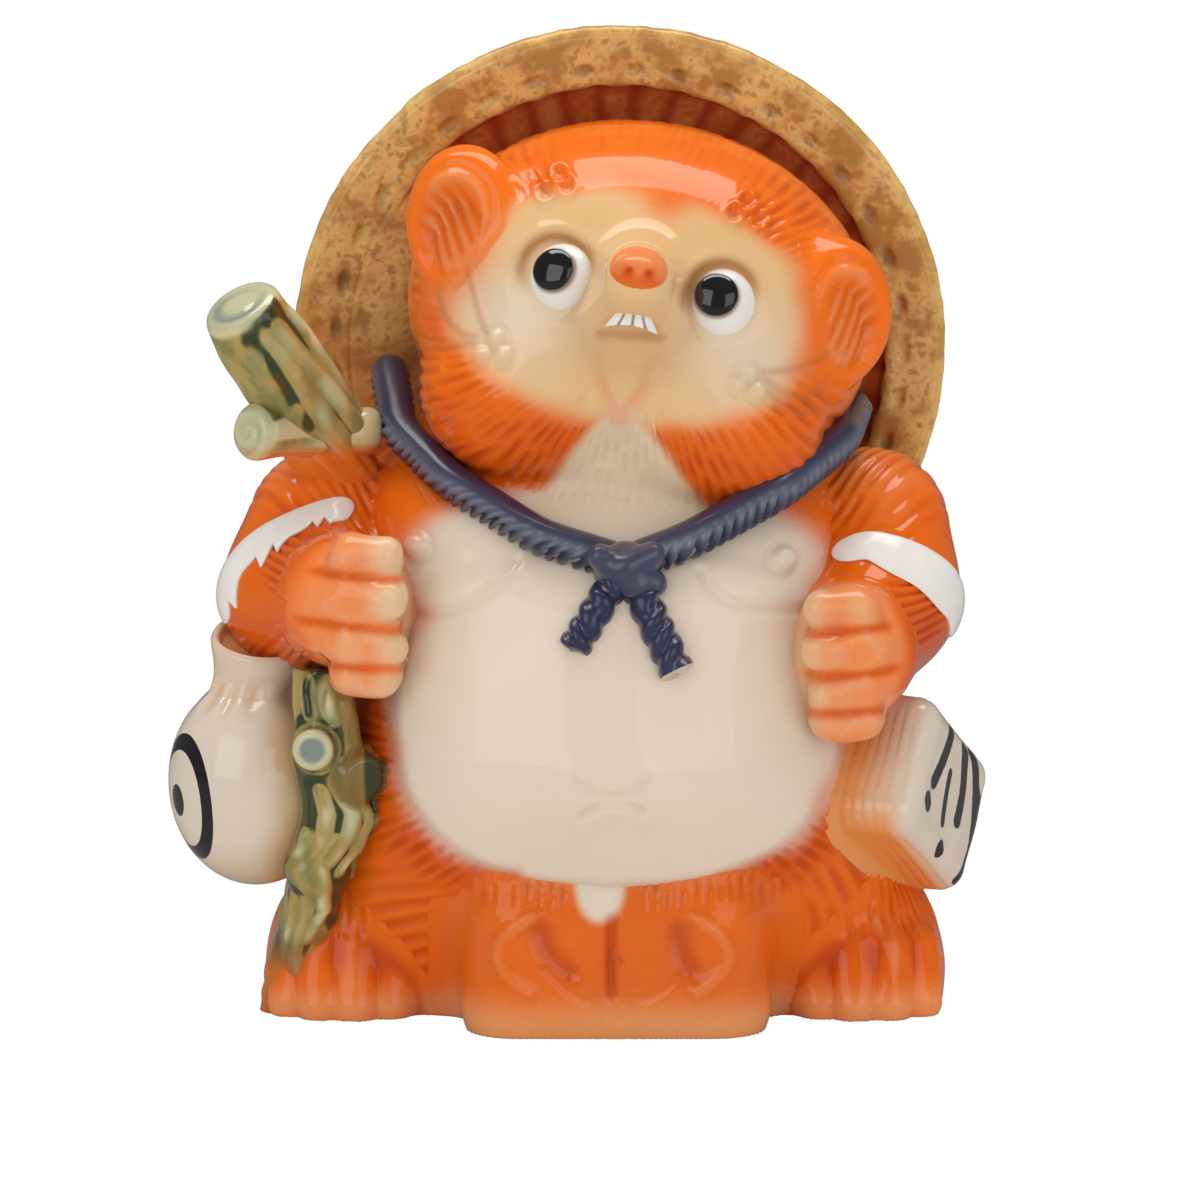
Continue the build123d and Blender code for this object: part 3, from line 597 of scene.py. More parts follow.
pale = np.maximum(np.maximum(0.4 * low + 0.12, 0.25 * thin), 0.95 * tip)
masks = sprayed(pale, 0.35 + 0.5 * strokes + 0.5 * hollow - 0.2 * low, 1 - tip)
masks = blended(bag_field, rings, masks, body_masks(rings), 7.0)
clay_mesh("money_bag", rings, orange_glaze, "orange_glaze", **masks)

# Tail: a short thick roll of clay luted against the back of the body, combed towards a brown tip. It
# has the form that is common on these figures.
tail_root = (0.0, 50.0, 15.0)
tail_tip = (20.0, 54.0, 54.0)
tail_radii = (15.0, 8.0)


def tail_field(points):
    return limb_field(points, tail_root, tail_radii[0], tail_tip, tail_radii[1])


rings = cast(standing(skirted(tail_field, body_field, 5.0)), (7.0, 50.0, 25.0), (0, 1, 0), 150, 260, 60.0)
strokes = combed(rings[..., 0] - 0.5 * rings[..., 2], rings[..., 2], 3.0, 14.0, 41)
rings = raised(rings, -0.8 * strokes * ease(rings[..., 2], 0.5, 3.0))
tip = ease(rings[..., 2], 42.0, 58.0)
masks = sprayed(0.35 * ease(rings[..., 2], 12.0, 2.0), 0.35 + 0.5 * strokes, 0.9, 0.5 * tip)
masks = blended(tail_field, rings, masks, body_masks(rings))
clay_mesh("tail", rings, orange_glaze, "orange_glaze", **masks)

# Head: a hollow egg on its side, leaning to the figure's left, luted over the neck. The face is left
# tan, the fur round it is combed outwards in the mould and sprayed orange.
head_middle = np.array([8.0, -8.0, 155.8])
head_half_width = 52.0
head_radius = 42.0
head_lean = np.radians(9.0)
head_axes = np.array(
    [
        (np.cos(head_lean), 0, -np.sin(head_lean)),
        (0, 1, 0),
        (np.sin(head_lean), 0, np.cos(head_lean)),
    ]
)
jowls = ((-22.0, -17.0, -20.5), (19.0, -17.0, -21.5))
jowl_radii = (24.0, 23.5, 20.5)
throat = (3.5, -27.0, 122.0)
throat_radii = (19.0, 12.5, 20.0)
face_middle = (-3.5, 2.0)
face_radii = (40.0, 24.0)
face_side = -2.0
eye_apart = 35.8
eye_up = 7.6
round_ears = ((-43.0, 14.0), (43.0, 6.0))
cheek_dots = ((-30.6, -8.5), (-33.3, -12.6), (-28.4, -11.6), (24.6, -7.1), (22.4, -9.6), (27.3, -10.8))
brow_dots = ((-22.4, 28.1), (-25.0, 23.8), (-20.5, 25.9), (18.3, 28.5), (16.0, 25.7), (21.6, 25.2))
whiskers = (
    bow((-32.8, -7.5), (-36.0, -1.5), (-38.6, 4.8)),
    bow((-35.0, -9.0), (-40.8, -7.2), (-44.5, -0.5)),
    bow((-35.0, -10.4), (-42.0, -12.8), (-47.0, -14.5)),
    bow((27.6, -6.6), (35.2, -4.8), (41.2, -0.8)),
    bow((28.0, -8.2), (35.0, -11.2), (40.0, -9.4)),
    bow((29.5, -11.0), (34.0, -14.5), (39.0, -14.0)),
)


def head_local(points):
    """Points by their place across, behind and up the face."""
    return (points - head_middle) @ head_axes.T


def from_head(side, behind, up):
    return head_middle + np.array([side, behind, up]) @ head_axes


def on_face(side, up):
    """A point of the face by its place across and up it."""
    depth = head_radius * np.sqrt(1 - (side / head_half_width) ** 2 - (up / head_radius) ** 2)
    return from_head(side, -depth, up)


def face_normal(side, up):
    """The way that the face looks at such a point."""
    local = head_local(on_face(side, up)) / np.array([head_half_width, head_radius, head_radius]) ** 2
    return unit(local) @ head_axes


def head_field(points):
    form = egg_field(points, head_middle, head_axes, (head_half_width, head_radius, head_radius))
    for jowl in jowls:
        form = luted(form, egg_field(points, from_head(*jowl), head_axes, jowl_radii), 6.0)
    return luted(form, egg_field(points, throat, upright_axes, throat_radii), 4.0)


def face_polar(local):
    """How far a spot lies from the middle of the face, as a share of the tan oval, and its angle."""
    side, up = local[..., 0] - face_middle[0], local[..., 2] - face_middle[1]
    return np.hypot(side / face_radii[0], up / face_radii[1]), np.arctan2(up, side)


def from_eye(local, side):
    """How far points of the face lie across and above the middle of an eye socket."""
    return local[..., 0] - face_side - side * eye_apart / 2, local[..., 2] - eye_up


def head_relief(points):
    """What the mould adds to the head in millimetres, and how deep its fur is cut."""
    local = head_local(points)
    front = ease(local[..., 1], 0.0, -10.0)
    rise = np.zeros(points.shape[:-1])
    for side, up in cheek_dots:
        off = np.hypot(local[..., 0] - side, local[..., 2] - up)
        rise += front * (mound(off, 1.6, 4) - 0.25 * mound(off - 2.6, 0.7))
    for side, up in brow_dots:
        off = np.hypot(local[..., 0] - side, local[..., 2] - up)
        rise += front * (0.7 * mound(off - 2.0, 0.8) - 0.9 * mound(off, 1.4))
    for whisker in whiskers:
        rise += 0.7 * stroke(local, whisker, 0.8) - 0.4 * stroke(local, whisker, 2.0)
    for side in (-1, 1):
        across, up = from_eye(local, side)
        off = np.hypot(across, up)
        rise += front * (0.9 * mound(off - 9.0, 1.7) * ease(up, -5.0, 6.0) - 0.8 * mound(off, 9.5, 6))
    reach, angle = face_polar(local)
    sides = ease(np.abs(np.cos(angle)), 0.35, 0.75)
    rim = ease(reach, 1.0, 1.16) * front * np.maximum(sides, ease(local[..., 2], -22.0, -27.0))
    rim = np.maximum(rim, 0.4 * ease(reach, 1.3, 1.5) * front)
    strokes = rim * combed(angle * 38 + 3 * reach, reach * 30, 2.3, 9.0, 13)
    behind = ease(local[..., 1], -6.0, 4.0)
    crown = np.arctan2(local[..., 2], local[..., 0])
    strokes = np.maximum(strokes, behind * combed(crown * 42, local[..., 1], 3.2, 15.0, 15))
    bib_edge = 4 * bib_share(points) * (1 - bib_share(points))
    fan = (points[..., 0] - bib_middle) / np.maximum(1.4 - (points[..., 2] - 115) / 28, 0.2)
    strokes = np.maximum(strokes, bib_edge * combed(fan * 1.6, points[..., 2], 2.6, 14.0, 17))
    return rise - 0.6 * strokes, strokes


def head_masks(points, strokes=0.0):
    """Where the face is tan, where the spray is deeper or brown, and the painted shade round the mouth."""
    local = head_local(points)
    front = ease(local[..., 1], -6.0, -16.0)
    reach = face_polar(local)[0] + 0.05 * clay_noise(points, 7.0, 21) + 0.09 * strokes
    pale = front * ease(reach, 1.22, 0.84)
    forelock = mound(local[..., 0] - 0.5, 6) * mound(local[..., 2] - 25, 5)
    pale = pale * (1 - 0.55 * forelock)
    for side, up in round_ears:
        pale = pale * (1 - mound(local[..., 0] - side, 9.5) * mound(local[..., 2] - up, 16))
    shade = np.zeros(points.shape[:-1])
    for side in (-1, 1):
        across, up = from_eye(local, side)
        lid = mound(np.hypot(across, up) - 7.6, 1.6) * ease(up - across * 0.4, -4.0, 4.0)
        halo = mound(across, 9.0) * mound(up - 9.0, 4.5)
        shade = np.maximum(shade, front * np.maximum(0.8 * lid, 0.22 * halo))
    beside = local[..., 0] - face_side
    # Painted shade round the mouth, under the snout.
    mouth_shade = mound(beside, 14, 4) * mound(local[..., 2] + 4.5, 9, 4)
    brow = mound(beside, 27, 4) * mound(local[..., 2] - 20, 6)
    shade = np.maximum(shade, front * np.maximum(0.2 * mouth_shade, 0.16 * brow))
    for whisker in whiskers:
        shade = np.maximum(shade, 0.4 * stroke(local, whisker, 0.9))
    cheeks = mound(np.abs(beside) - 25, 14) * mound(local[..., 2] + 3, 10)
    bib = bib_share(points)
    pale, tan = np.maximum(pale, 0.92 * bib), (0.95 - 0.68 * cheeks) * (1 - 0.6 * bib)
    deep = 0.15 + 0.55 * strokes + 0.35 * ease(local[..., 2], -16.0, -30.0) * front
    return sprayed(pale, deep, tan, shade)


hat_middle = np.array([3.4, 10.0, 145.3])
hat_tilt = np.radians(8.0)
hat_back = np.array([0, np.cos(hat_tilt), np.sin(hat_tilt)])
hat_up = np.array([0, -np.sin(hat_tilt), np.cos(hat_tilt)])


def neck_field(points):
    return np.maximum(body_field(points), points[..., 2] - body_top)


def head_in_hat(points):
    """The head with its back pressed into the hollow of the hat."""
    spot = points - hat_middle
    off = np.hypot(spot[..., 0], spot @ hat_up)
    past = spot @ hat_back - np.interp(off, (0, 7, 64), (31.0, 29.5, 6.4))
    return np.maximum(skirted(head_field, neck_field, 5.0)(points), past)


rings = cast(head_in_hat, head_middle, (0, -1, 0), 235, 420, 70.0, 0.9)
rise, strokes = head_relief(rings)
rings = raised(rings, rise)
masks = blended(head_field, rings, head_masks(rings, strokes), body_masks(rings))
clay_mesh("head", rings, orange_glaze, "face_glaze", **masks)

# Muzzle: one pressed lump of snout, upper lip and chin, luted on under the eyes and smoothed into the
# face. It is tan like the face, with painted shade round the mouth under the snout and a painted
# shadow along the lip line.
snout = ((-2.0, -36.0, 9.0), 10.0, (-2.6, -48.0, 10.0), 7.8)
lip = ((-2.5, -42.0, 1.5), (12.0, 7.5, 8.5))
chin = ((-2.5, -39.5, -6.5), 6.5, (-1.6, -35.5, -18.0), 3.0)
chin_lines = (
    bow((-9.0, -8.5), (-7.0, -14.0), (-2.6, -20.5)),
    bow((4.0, -7.5), (2.6, -13.5), (-1.0, -20.5)),
)
lip_line = bow((-8.8, -3.6), (-2.4, -2.6), (4.4, -2.4))


def muzzle_field(points):
    local = head_local(points)
    form = luted(limb_field(local, *snout), egg_field(local, lip[0], upright_axes, lip[1]), 6.0)
    return luted(form, limb_field(local, *chin), 5.0)


def face_field(points):
    return luted(head_field(points), muzzle_field(points), 10.0)


muzzle_middle = from_head(-2.3, -41.0, 2.0)
rings = cast(skirted(muzzle_field, head_field, 9.0, 0.93), muzzle_middle, (0, -1, 0), 190, 320, 40.0)
local = head_local(rings)
skirt = ease(muzzle_field(rings), 0.5, 4.0)
rise = head_relief(rings)[0] * skirt - 0.6 * stroke(local, lip_line, 1.0)
rise -= 0.09 * ease(muzzle_field(rings), 4.0, 8.0)
for side in (-1, 1):
    across, up = from_eye(local, side)
    rise -= 2.2 * mound(np.hypot(across - 0.8, up + 0.6), 8.2, 6)
for line in chin_lines:
    rise -= 0.35 * stroke(local, line, 1.2) * (1 - skirt)
rings = raised(rings, rise)
masks = head_masks(rings)
# Painted shade round the mouth under the snout, and a painted shadow along the lip line.
shade_under_snout = mound(local[..., 0] + 2.3, 11, 4) * mound(local[..., 2] + 3.0, 8, 4)
masks["shade"] = np.maximum(masks["shade"], 0.26 * shade_under_snout + 0.35 * stroke(local, lip_line, 1.2))
beside_chin = sum(stroke(local, line, 2.2) for line in chin_lines) * ease(local[..., 2], -9.0, -14.0)
masks["pale"] = masks["pale"] * (1 - 0.35 * np.clip(beside_chin, 0, 1))
clay_mesh("muzzle", rings, orange_glaze, "face_glaze", **masks)

# Nose: a pinched bead of clay, set on the tip of the snout and touched with orange. The two nostrils
# are pricked into it, and the glaze pools dark in them.
nose_place = (-2.8, -53.9, 12.4)
nose_radii = (4.9, 3.9, 3.0)
nostrils = ((-5.1, 11.5), (-0.4, 11.5))


def nose_field(points):
    return egg_field(head_local(points), nose_place, upright_axes, nose_radii)


rings = cast(skirted(nose_field, face_field, 2.0), from_head(*nose_place), (0, -1, 0), 90, 160, 20.0)
local = head_local(rings)
ahead = ease(local[..., 1], -53.4, -55.4)
dents, pits = np.zeros(ahead.shape), np.zeros(ahead.shape)
for side, up in nostrils:
    across, above = local[..., 0] - side, local[..., 2] - up
    dents += ahead * mound(np.hypot(across * 0.8, above), 1.1)
    pits += ahead * mound(np.hypot(across, above), 1.2)
rings = raised(rings, -0.8 * dents)
# Painted shade: the underside of the nose is darker and less pale.
under = ease(local[..., 2], 12.0, 9.5)
masks = sprayed(0.34 - 0.34 * pits - 0.2 * under, 0.1 + 0.3 * under + 0.9 * pits, 0.8)
clay_mesh("nose", rings, orange_glaze, "orange_glaze", **masks)

# Teeth: a small fan-shaped plate of clay, luted on under the upper lip. It is scored into four teeth
# and painted white, with thin brown in the scores.
teeth_place = (-2.3, -48.8, -1.1)
teeth_radii = (5.7, 4.0, 5.4)
teeth_floor = -1.1
teeth_arch = 11.9
teeth_arch_rise = 1.0
teeth_cuts = (-3.3, 0.0, 3.3)


def painted_white(name):
    """White under-glaze brushed on, with fine brown or black lines where the mask says."""
    made, shader, wire = new_finish(name, Roughness=0.22, Coat_Weight=0.5, Coat_Roughness=0.06)
    tone = wire.mix(wire.noise(160.0), (0.82, 0.77, 0.7, 1), (0.9, 0.86, 0.81, 1))
    feed(wire, shader, Base_Color=wire.mix(wire.mask("line"), tone, (0.2, 0.07, 0.025, 1)))
    feed(wire, shader, Normal=wire.bump(wire.noise(500.0), 0.1, 0.0005))
    return made


white_glaze = painted_white("brushed white")


def teeth_field(points):
    local = head_local(points)
    under = local[..., 2] - teeth_floor + teeth_arch - teeth_arch_rise
    arch = teeth_arch - np.hypot(local[..., 0] - teeth_place[0], under)
    fan = np.abs(local[..., 0] - teeth_place[0]) - teeth_radii[0] + 0.6 * (local[..., 2] - teeth_floor)
    return np.maximum(np.maximum(egg_field(local, teeth_place, upright_axes, teeth_radii), arch), 0.8 * fan)


start = from_head(teeth_place[0], teeth_place[1], teeth_floor + 3.0)
rings = cast(teeth_field, start, (0, -1, 0.2), 100, 200, 12.0)
local = head_local(rings)
gaps = 0.0
for cut in teeth_cuts:
    drift = cut * (1 - 0.11 * (local[..., 2] - teeth_floor))
    gaps = gaps + mound(local[..., 0] - teeth_place[0] - drift, 0.33)
rings = raised(rings, -0.5 * gaps)
clay_mesh("teeth", rings, white_glaze, "white_glaze", line=0.8 * np.clip(gaps, 0, 1) ** 1.5)

# Eyes: white domes sunk in the sockets, with a fine brown line round the place of the pupil. The
# pupils are flat black buttons set off centre, so that the figure looks up and to its right.
eye_radius = 8.0
eye_sunk = 4.75
eye_shift = (1.0, -0.4)
pupil_radius = 4.7
pupil_thickness = 1.7
pupil_places = {"right": (-21.0, 8.5), "left": (14.6, 8.7)}
shine = {"Roughness": 0.08, "Coat_Weight": 1.0, "Coat_Roughness": 0.03}
black_glaze, black_shader, wire = new_finish("black glaze", **shine)
soot = wire.mix(wire.noise(300.0), (0.004, 0.004, 0.005, 1), (0.012, 0.011, 0.012, 1))
feed(wire, black_shader, Base_Color=soot)
for side, which in ((-1, "right"), (1, "left")):
    spot = (face_side + side * eye_apart / 2 + eye_shift[0], eye_up + eye_shift[1])
    middle = on_face(*spot) - face_normal(*spot) * eye_sunk
    across, up = np.array(pupil_places[which]) - head_local(middle)[[0, 2]]
    outward = np.array([across, -np.sqrt(eye_radius**2 - across**2 - up**2), up]) @ head_axes / eye_radius
    side_way = unit(np.cross(outward, (0, 0, 1.0)))
    button_axes = np.array([side_way, outward, np.cross(side_way, outward)])
    button = middle + outward * (eye_radius - 0.6)
    ball = lambda points: egg_field(points, middle, upright_axes, (eye_radius,) * 3)
    rings = cast(ball, middle, outward, 120, 160, 12.0)
    off = np.linalg.norm(np.cross(rings - middle, outward), axis=-1)
    ring = mound(off - pupil_radius + 0.1, 0.5) * ((rings - middle) @ outward > 0)
    clay_mesh("eye_" + which, rings, white_glaze, "white_glaze", line=0.75 * ring)
    button_radii = (pupil_radius, pupil_thickness, pupil_radius)
    lens = lambda points: egg_field(points, button, button_axes, button_radii)
    rings = cast(lens, button, outward, 80, 120, 8.0)
    clay_mesh("pupil_" + which, rings, black_glaze, "black_glaze")

# Ears: two rounded pads of clay pinched into a bowl with a double rim, luted on at the sides of the
# head. Hair is drawn in the bowl with a tool, and the orange is sprayed over all of it.
ear_radii = (13.5, 7.0, 16.5)
ear_places = {"ear_right": (-1, (-41.5, -17.5, 14.5), 0.1), "ear_left": (1, (41.5, -17.5, 7.5), -0.25)}
ear_turn = np.radians(22.0)
for name, (side, place, tilt) in ear_places.items():
    outward = np.array([side * np.sin(ear_turn), -np.cos(ear_turn), 0.0]) @ head_axes
    leaning = np.array([side * np.cos(ear_turn), np.sin(ear_turn), 0.0]) * np.sin(tilt)
    upward = (leaning + (0, 0, np.cos(tilt))) @ head_axes
    across = np.cross(upward, outward) * -side
    upward = np.cross(outward, across) * -side
    ear_axes = np.array([across, outward, upward])
    middle = from_head(*place)
    own = lambda points: egg_field(points, middle, ear_axes, ear_radii)
    rings = cast(skirted(own, head_field, 5.0), middle, outward, 170, 300, 30.0)
    local = (rings - middle) @ ear_axes.T
    wide, high = local[..., 0] / ear_radii[0], local[..., 2] / ear_radii[2]
    reach, turn = np.hypot(wide, high), np.arctan2(high, wide)
    ahead = ease(local[..., 1], -1.0, 2.0)
    open_side = ease(np.cos(turn - np.radians(200)), 0.2, 0.9)
    bowl = ease(np.hypot((local[..., 0] + 1.5) / 9.5, (local[..., 2] + 2.5) / 11.5), 1.0, 0.55)
    inner = mound(reach - 0.58, 0.09) * (1 - open_side)
    outer = mound(reach - 0.82, 0.12) * (1 - open_side)
    ridges = (0.5 + 0.5 * np.cos(2 * np.pi * (local[..., 0] * 0.8 + local[..., 2] * 0.6) / 3.4)) * bowl
    rise = 0.9 * outer - 4.6 * bowl + 1.2 * inner + 0.9 * ridges
    rise = np.maximum(rise, 0.4 - np.maximum(head_field(rings), 0.4))
    skirt = ease(own(rings), 0.5, 3.0)
    rings = raised(rings, rise * ahead * (1 - skirt) + head_relief(rings)[0] * skirt)
    masks = sprayed((0.06 + 0.3 * inner + 0.3 * ridges) * ahead, 0.4 * (bowl - 0.6 * ridges) * ahead, 0.8)
    masks = blended(own, rings, masks, head_masks(rings))
    masks["pale"] = np.minimum(masks["pale"], 1 - 0.7 * ease(reach, 1.1, 0.9))
    clay_mesh(name, rings, orange_glaze, "orange_glaze", **masks)

# Straw hat: a shallow cone hung behind the head with its underside forwards, turned as one piece.
# Stitches are poked round the brim, and an ochre glaze is sponged on, red-brown in the hollow, which is
# darkened further with painted shade, most beside the head and along its step.
hat_profile = (
    (0.0, 28.0),
    (56.0, 6.4),
    (59.4, 5.0),
    (59.9, 1.8),
    (61.5, 1.1),
    (69.0, 0.3),
    (71.6, 0.2),
    (73.2, 1.4),
    (73.6, 3.2),
    (70.8, 6.0),
    (64.0, 8.8),
    (7.0, 32.0),
    (3.4, 33.6),
    (0.0, 34.0),
)
hat_rows = (30, 14, 12, 10, 36, 12, 6, 8, 8, 10, 44, 10, 8)
hat_columns = 440
stitch_radius = 64.0
stitch_count = 37


def sponged_straw(name):
    """Ochre sponged over brown, darker in the stitches and the hollow, paler along the rim, with painted
    shade in the hollow.
    """
    made, shader, wire = new_finish(name, Coat_Weight=0.35, Coat_Roughness=0.12)
    blot = wire.noise(110.0, 8.0)
    speck = wire.noise(430.0, 5.0)
    dabbed = (blot + speck * 0.5 - 0.25).step(0.38, 0.6)
    ochre = wire.mix(dabbed, (0.45, 0.21, 0.045, 1), (0.77, 0.47, 0.14, 1))
    ochre = wire.mix((speck * 0.7 + blot * 0.3).step(0.53, 0.64) * 0.6, ochre, (0.24, 0.1, 0.02, 1))
    ochre = wire.mix(wire.mask("hollow") * 0.95, ochre, (0.4, 0.038, 0.003, 1))
    ochre = wire.mix(wire.mask("rim") * 0.3, ochre, (0.78, 0.45, 0.11, 1))
    ochre = wire.mix(wire.mask("fade"), ochre, (0.75, 0.2, 0.05, 1))
    ochre = wire.mix(wire.mask("plum"), ochre, (0.1, 0.035, 0.03, 1))
    feed(wire, shader, Base_Color=ochre, Roughness=0.25 + 0.25 * blot)
    feed(wire, shader, Normal=wire.bump(blot + speck * 0.5, 0.35, 0.0006))
    return made


straw_glaze = sponged_straw("sponged straw glaze")


def turned(profile, counts):
    """Points along a turned outline, with that many steps to each of its stretches."""
    stretches = zip(profile, profile[1:], counts)
    steps = [np.linspace(start, end, count, endpoint=False) for start, end, count in stretches]
    return np.concatenate([*steps, profile[-1:]])


turn = np.linspace(0, 2 * np.pi, hat_columns, endpoint=False)
profile = smoothed(turned(hat_profile, hat_rows), 3)
radius, depth = profile[:, :1], profile[:, 1:]
front_face = np.arange(len(radius))[:, None] < sum(hat_rows[:6])
filled = ease(np.abs(np.degrees(turn) - 190), 58.0, 40.0) * ease(radius, 30.0, 42.0) * (depth < 15)
filled = filled * front_face
depth = depth + filled * (np.minimum(depth, 1.2 + 0.1 * np.abs(60 - radius)) - depth)
flat = np.stack([radius * np.cos(turn), radius * np.sin(turn), depth], axis=-1)
rings = hat_middle + flat[..., :1] * (1, 0, 0) + flat[..., 1:2] * hat_up + flat[..., 2:] * hat_back
place = turn / (2 * np.pi) * stitch_count
off = (place - np.round(place)) * 2 * np.pi / stitch_count * radius
stitches = mound(np.hypot(off / 2.3, (radius - stitch_radius) / 1.3), 1.0, 4) * front_face
# Red-brown glaze in the hollow, darkened further as painted shade.
hollow = ease(radius, 60.5, 59.5) * front_face * (1 - filled)
weave = clay_noise(flat, 2.6, 51) * 0.3 + clay_noise(flat, 6.5, 52) * 0.5
spokes = np.abs(np.sin(turn * 22 + 0.6 * clay_noise(flat, 9.0, 53))) ** 6
coils = (1 - front_face) * 0.3 * np.cos(radius * 1.9)
rings = raised(rings, 0.6 * weave - 1.1 * stitches - 0.8 * hollow * spokes + coils)
corner = ease(flat[..., 0] * 0.75 + flat[..., 1] * 0.65, -38.0, -56.0) * front_face
masks = {"hollow": hollow * (0.75 + 0.25 * spokes), "rim": ease(radius, 70.0, 71.6), "fade": 0.55 * corner}
# Painted shade: a dark patch in the corner of the hollow beside the head.
beside = mound(flat[..., 0] + 46, 5) * mound(flat[..., 1] + 2, 12) * front_face
stained = stitches * ease(clay_noise(flat, 9.0, 54), -0.9, 0.3)
# Painted shade: a dark line along the step into the hollow.
lip = mound(radius - 60.3, 0.5) * front_face * (1 - filled)
# Stained stitches and dark spokes, with the painted shade of the corner and the step.
masks["plum"] = np.clip(0.3 * beside + 0.5 * stained + 0.2 * hollow * spokes + 0.5 * lip, 0, 1)
clay_mesh("straw_hat", rings, straw_glaze, "straw_glaze", **masks)

# Arms: thick bent rolls of clay luted to the shoulders and the sides of the chest, with combed fur.
# The forearms come forward over the breast.
arms = {
    "arm_right": (-1, (-62.0, -4.0, 107.0), (-66.5, -12.0, 93.0), (-57.0, -34.0, 94.0)),
    "arm_left": (1, (59.0, -4.0, 107.0), (60.0, -12.0, 93.0), (53.5, -34.0, 83.0)),
}
shoulder_radius = 18.0
elbow_radius = 17.0
wrist_radius = 15.0


def arm_form(name):
    shoulder, elbow, wrist = arms[name][1:]

    def field(points):
        upper = limb_field(points, shoulder, shoulder_radius, elbow, elbow_radius)
        return luted(upper, limb_field(points, elbow, elbow_radius, wrist, wrist_radius), 9.0)

    return field


def torso_field(points):
    return luted(body_field(points), head_field(points), 2.0)


def arm_masks(points, side, strokes=0.0):
    """Orange, paler towards the breast and on the upper side."""
    top = ease(points[..., 2], 106.0, 124.0)
    inner = ease(side * points[..., 0], 52.0, 40.0) * ease(points[..., 1], -30.0, -44.0)
    pale = np.clip(0.28 * top + 0.3 * inner + 0.16 * clay_noise(points, 8.0, 61), 0, 1) * (1 - 0.6 * strokes)
    deep = 0.35 + 0.4 * strokes + 0.35 * ease(points[..., 2], 96.0, 84.0) - 0.3 * top
    return sprayed(pale, deep, 0.75)


for name, (side, _, elbow, wrist) in arms.items():
    own = arm_form(name)
    start = np.array(elbow) + (0, -2.0, 4.0)
    rings = cast(skirted(own, torso_field, 5.0), start, (side, -1, 0.2), 210, 400, 60.0)
    x, y, z = side * rings[..., 0], rings[..., 1], rings[..., 2]
    above = ease(z - 0.5 * (x - 60), 101.0, 105.0)
    strokes = above * combed(x * 0.9 - z * 0.35 - y * 0.5, z + 0.4 * x, 3.0, 15.0, 63 + side)
    patch = ease(np.hypot((x - 65.5) / 10, (z - wrist[2] - 8) / 8), 1.2, 0.75) * ease(y, -10.0, -18.0)
    smile = z - 0.025 * (x - 66) ** 2
    strokes = np.maximum(strokes, 0.9 * patch * (0.5 - 0.5 * np.cos(2 * np.pi * smile / 2.1)) ** 1.2)
    below = ease(z, wrist[2] - 6, wrist[2] - 12) * 0.7
    strokes = np.maximum(strokes, below * combed(x + z * 0.6, z - 0.6 * x, 2.8, 16.0, 67 + side))
    rings = raised(rings, -0.8 * strokes)
    masks = blended(own, rings, arm_masks(rings, side, strokes), body_masks(rings))
    clay_mesh(name, rings, orange_glaze, "orange_glaze", **masks)

# Hands: a palm with a thumb and three fat fingers curled over, luted to the ends of the forearms. The
# orange thins to a pale skin on the finger tips.
palm_radius = 12.0
palm_reach = 5.0
fist_half = (8.0, 8.0, 16.5)
fist_behind = 3.6
hands = {
    "hand_right": (
        "arm_right",
        ((-54.5, -46.5, 106.3), (-47.5, -50.0, 105.8), 4.2),
        ((-57.0, -46.0, 96.6), (-47.5, -50.5, 96.2), 5.6),
        ((-57.0, -45.5, 86.4), (-47.0, -50.0, 86.0), 4.9),
        ((-55.5, -44.0, 78.8), (-48.5, -48.0, 78.6), 3.9),
    ),
    "hand_left": (
        "arm_left",
        ((53.5, -46.5, 94.2), (46.5, -50.0, 94.0), 4.4),
        ((57.5, -45.0, 85.6), (46.5, -50.5, 85.0), 5.0),
        ((56.0, -45.0, 77.0), (48.0, -49.5, 75.6), 4.6),
        ((57.0, -43.5, 70.0), (51.5, -47.5, 68.8), 3.8),
    ),
}


def hand_form(arm, fingers):
    wrist = np.array(arms[arm][3])
    finger_middles = [(np.array(knuckle) + tip) / 2 for knuckle, tip, _ in fingers]
    fist = np.mean(finger_middles, axis=0) + (0, fist_behind, 0)

    def field(points):
        form = limb_field(points, wrist, palm_radius, wrist + (0, -palm_reach, 0), palm_radius - 1.0)
        form = luted(form, box_field(points, fist, upright_axes, fist_half, 5.0), 4.0)
        for knuckle, tip, radius in fingers:
            form = luted(form, limb_field(points, knuckle, radius, tip, radius - 0.3), 2.4)
        return form

    return field


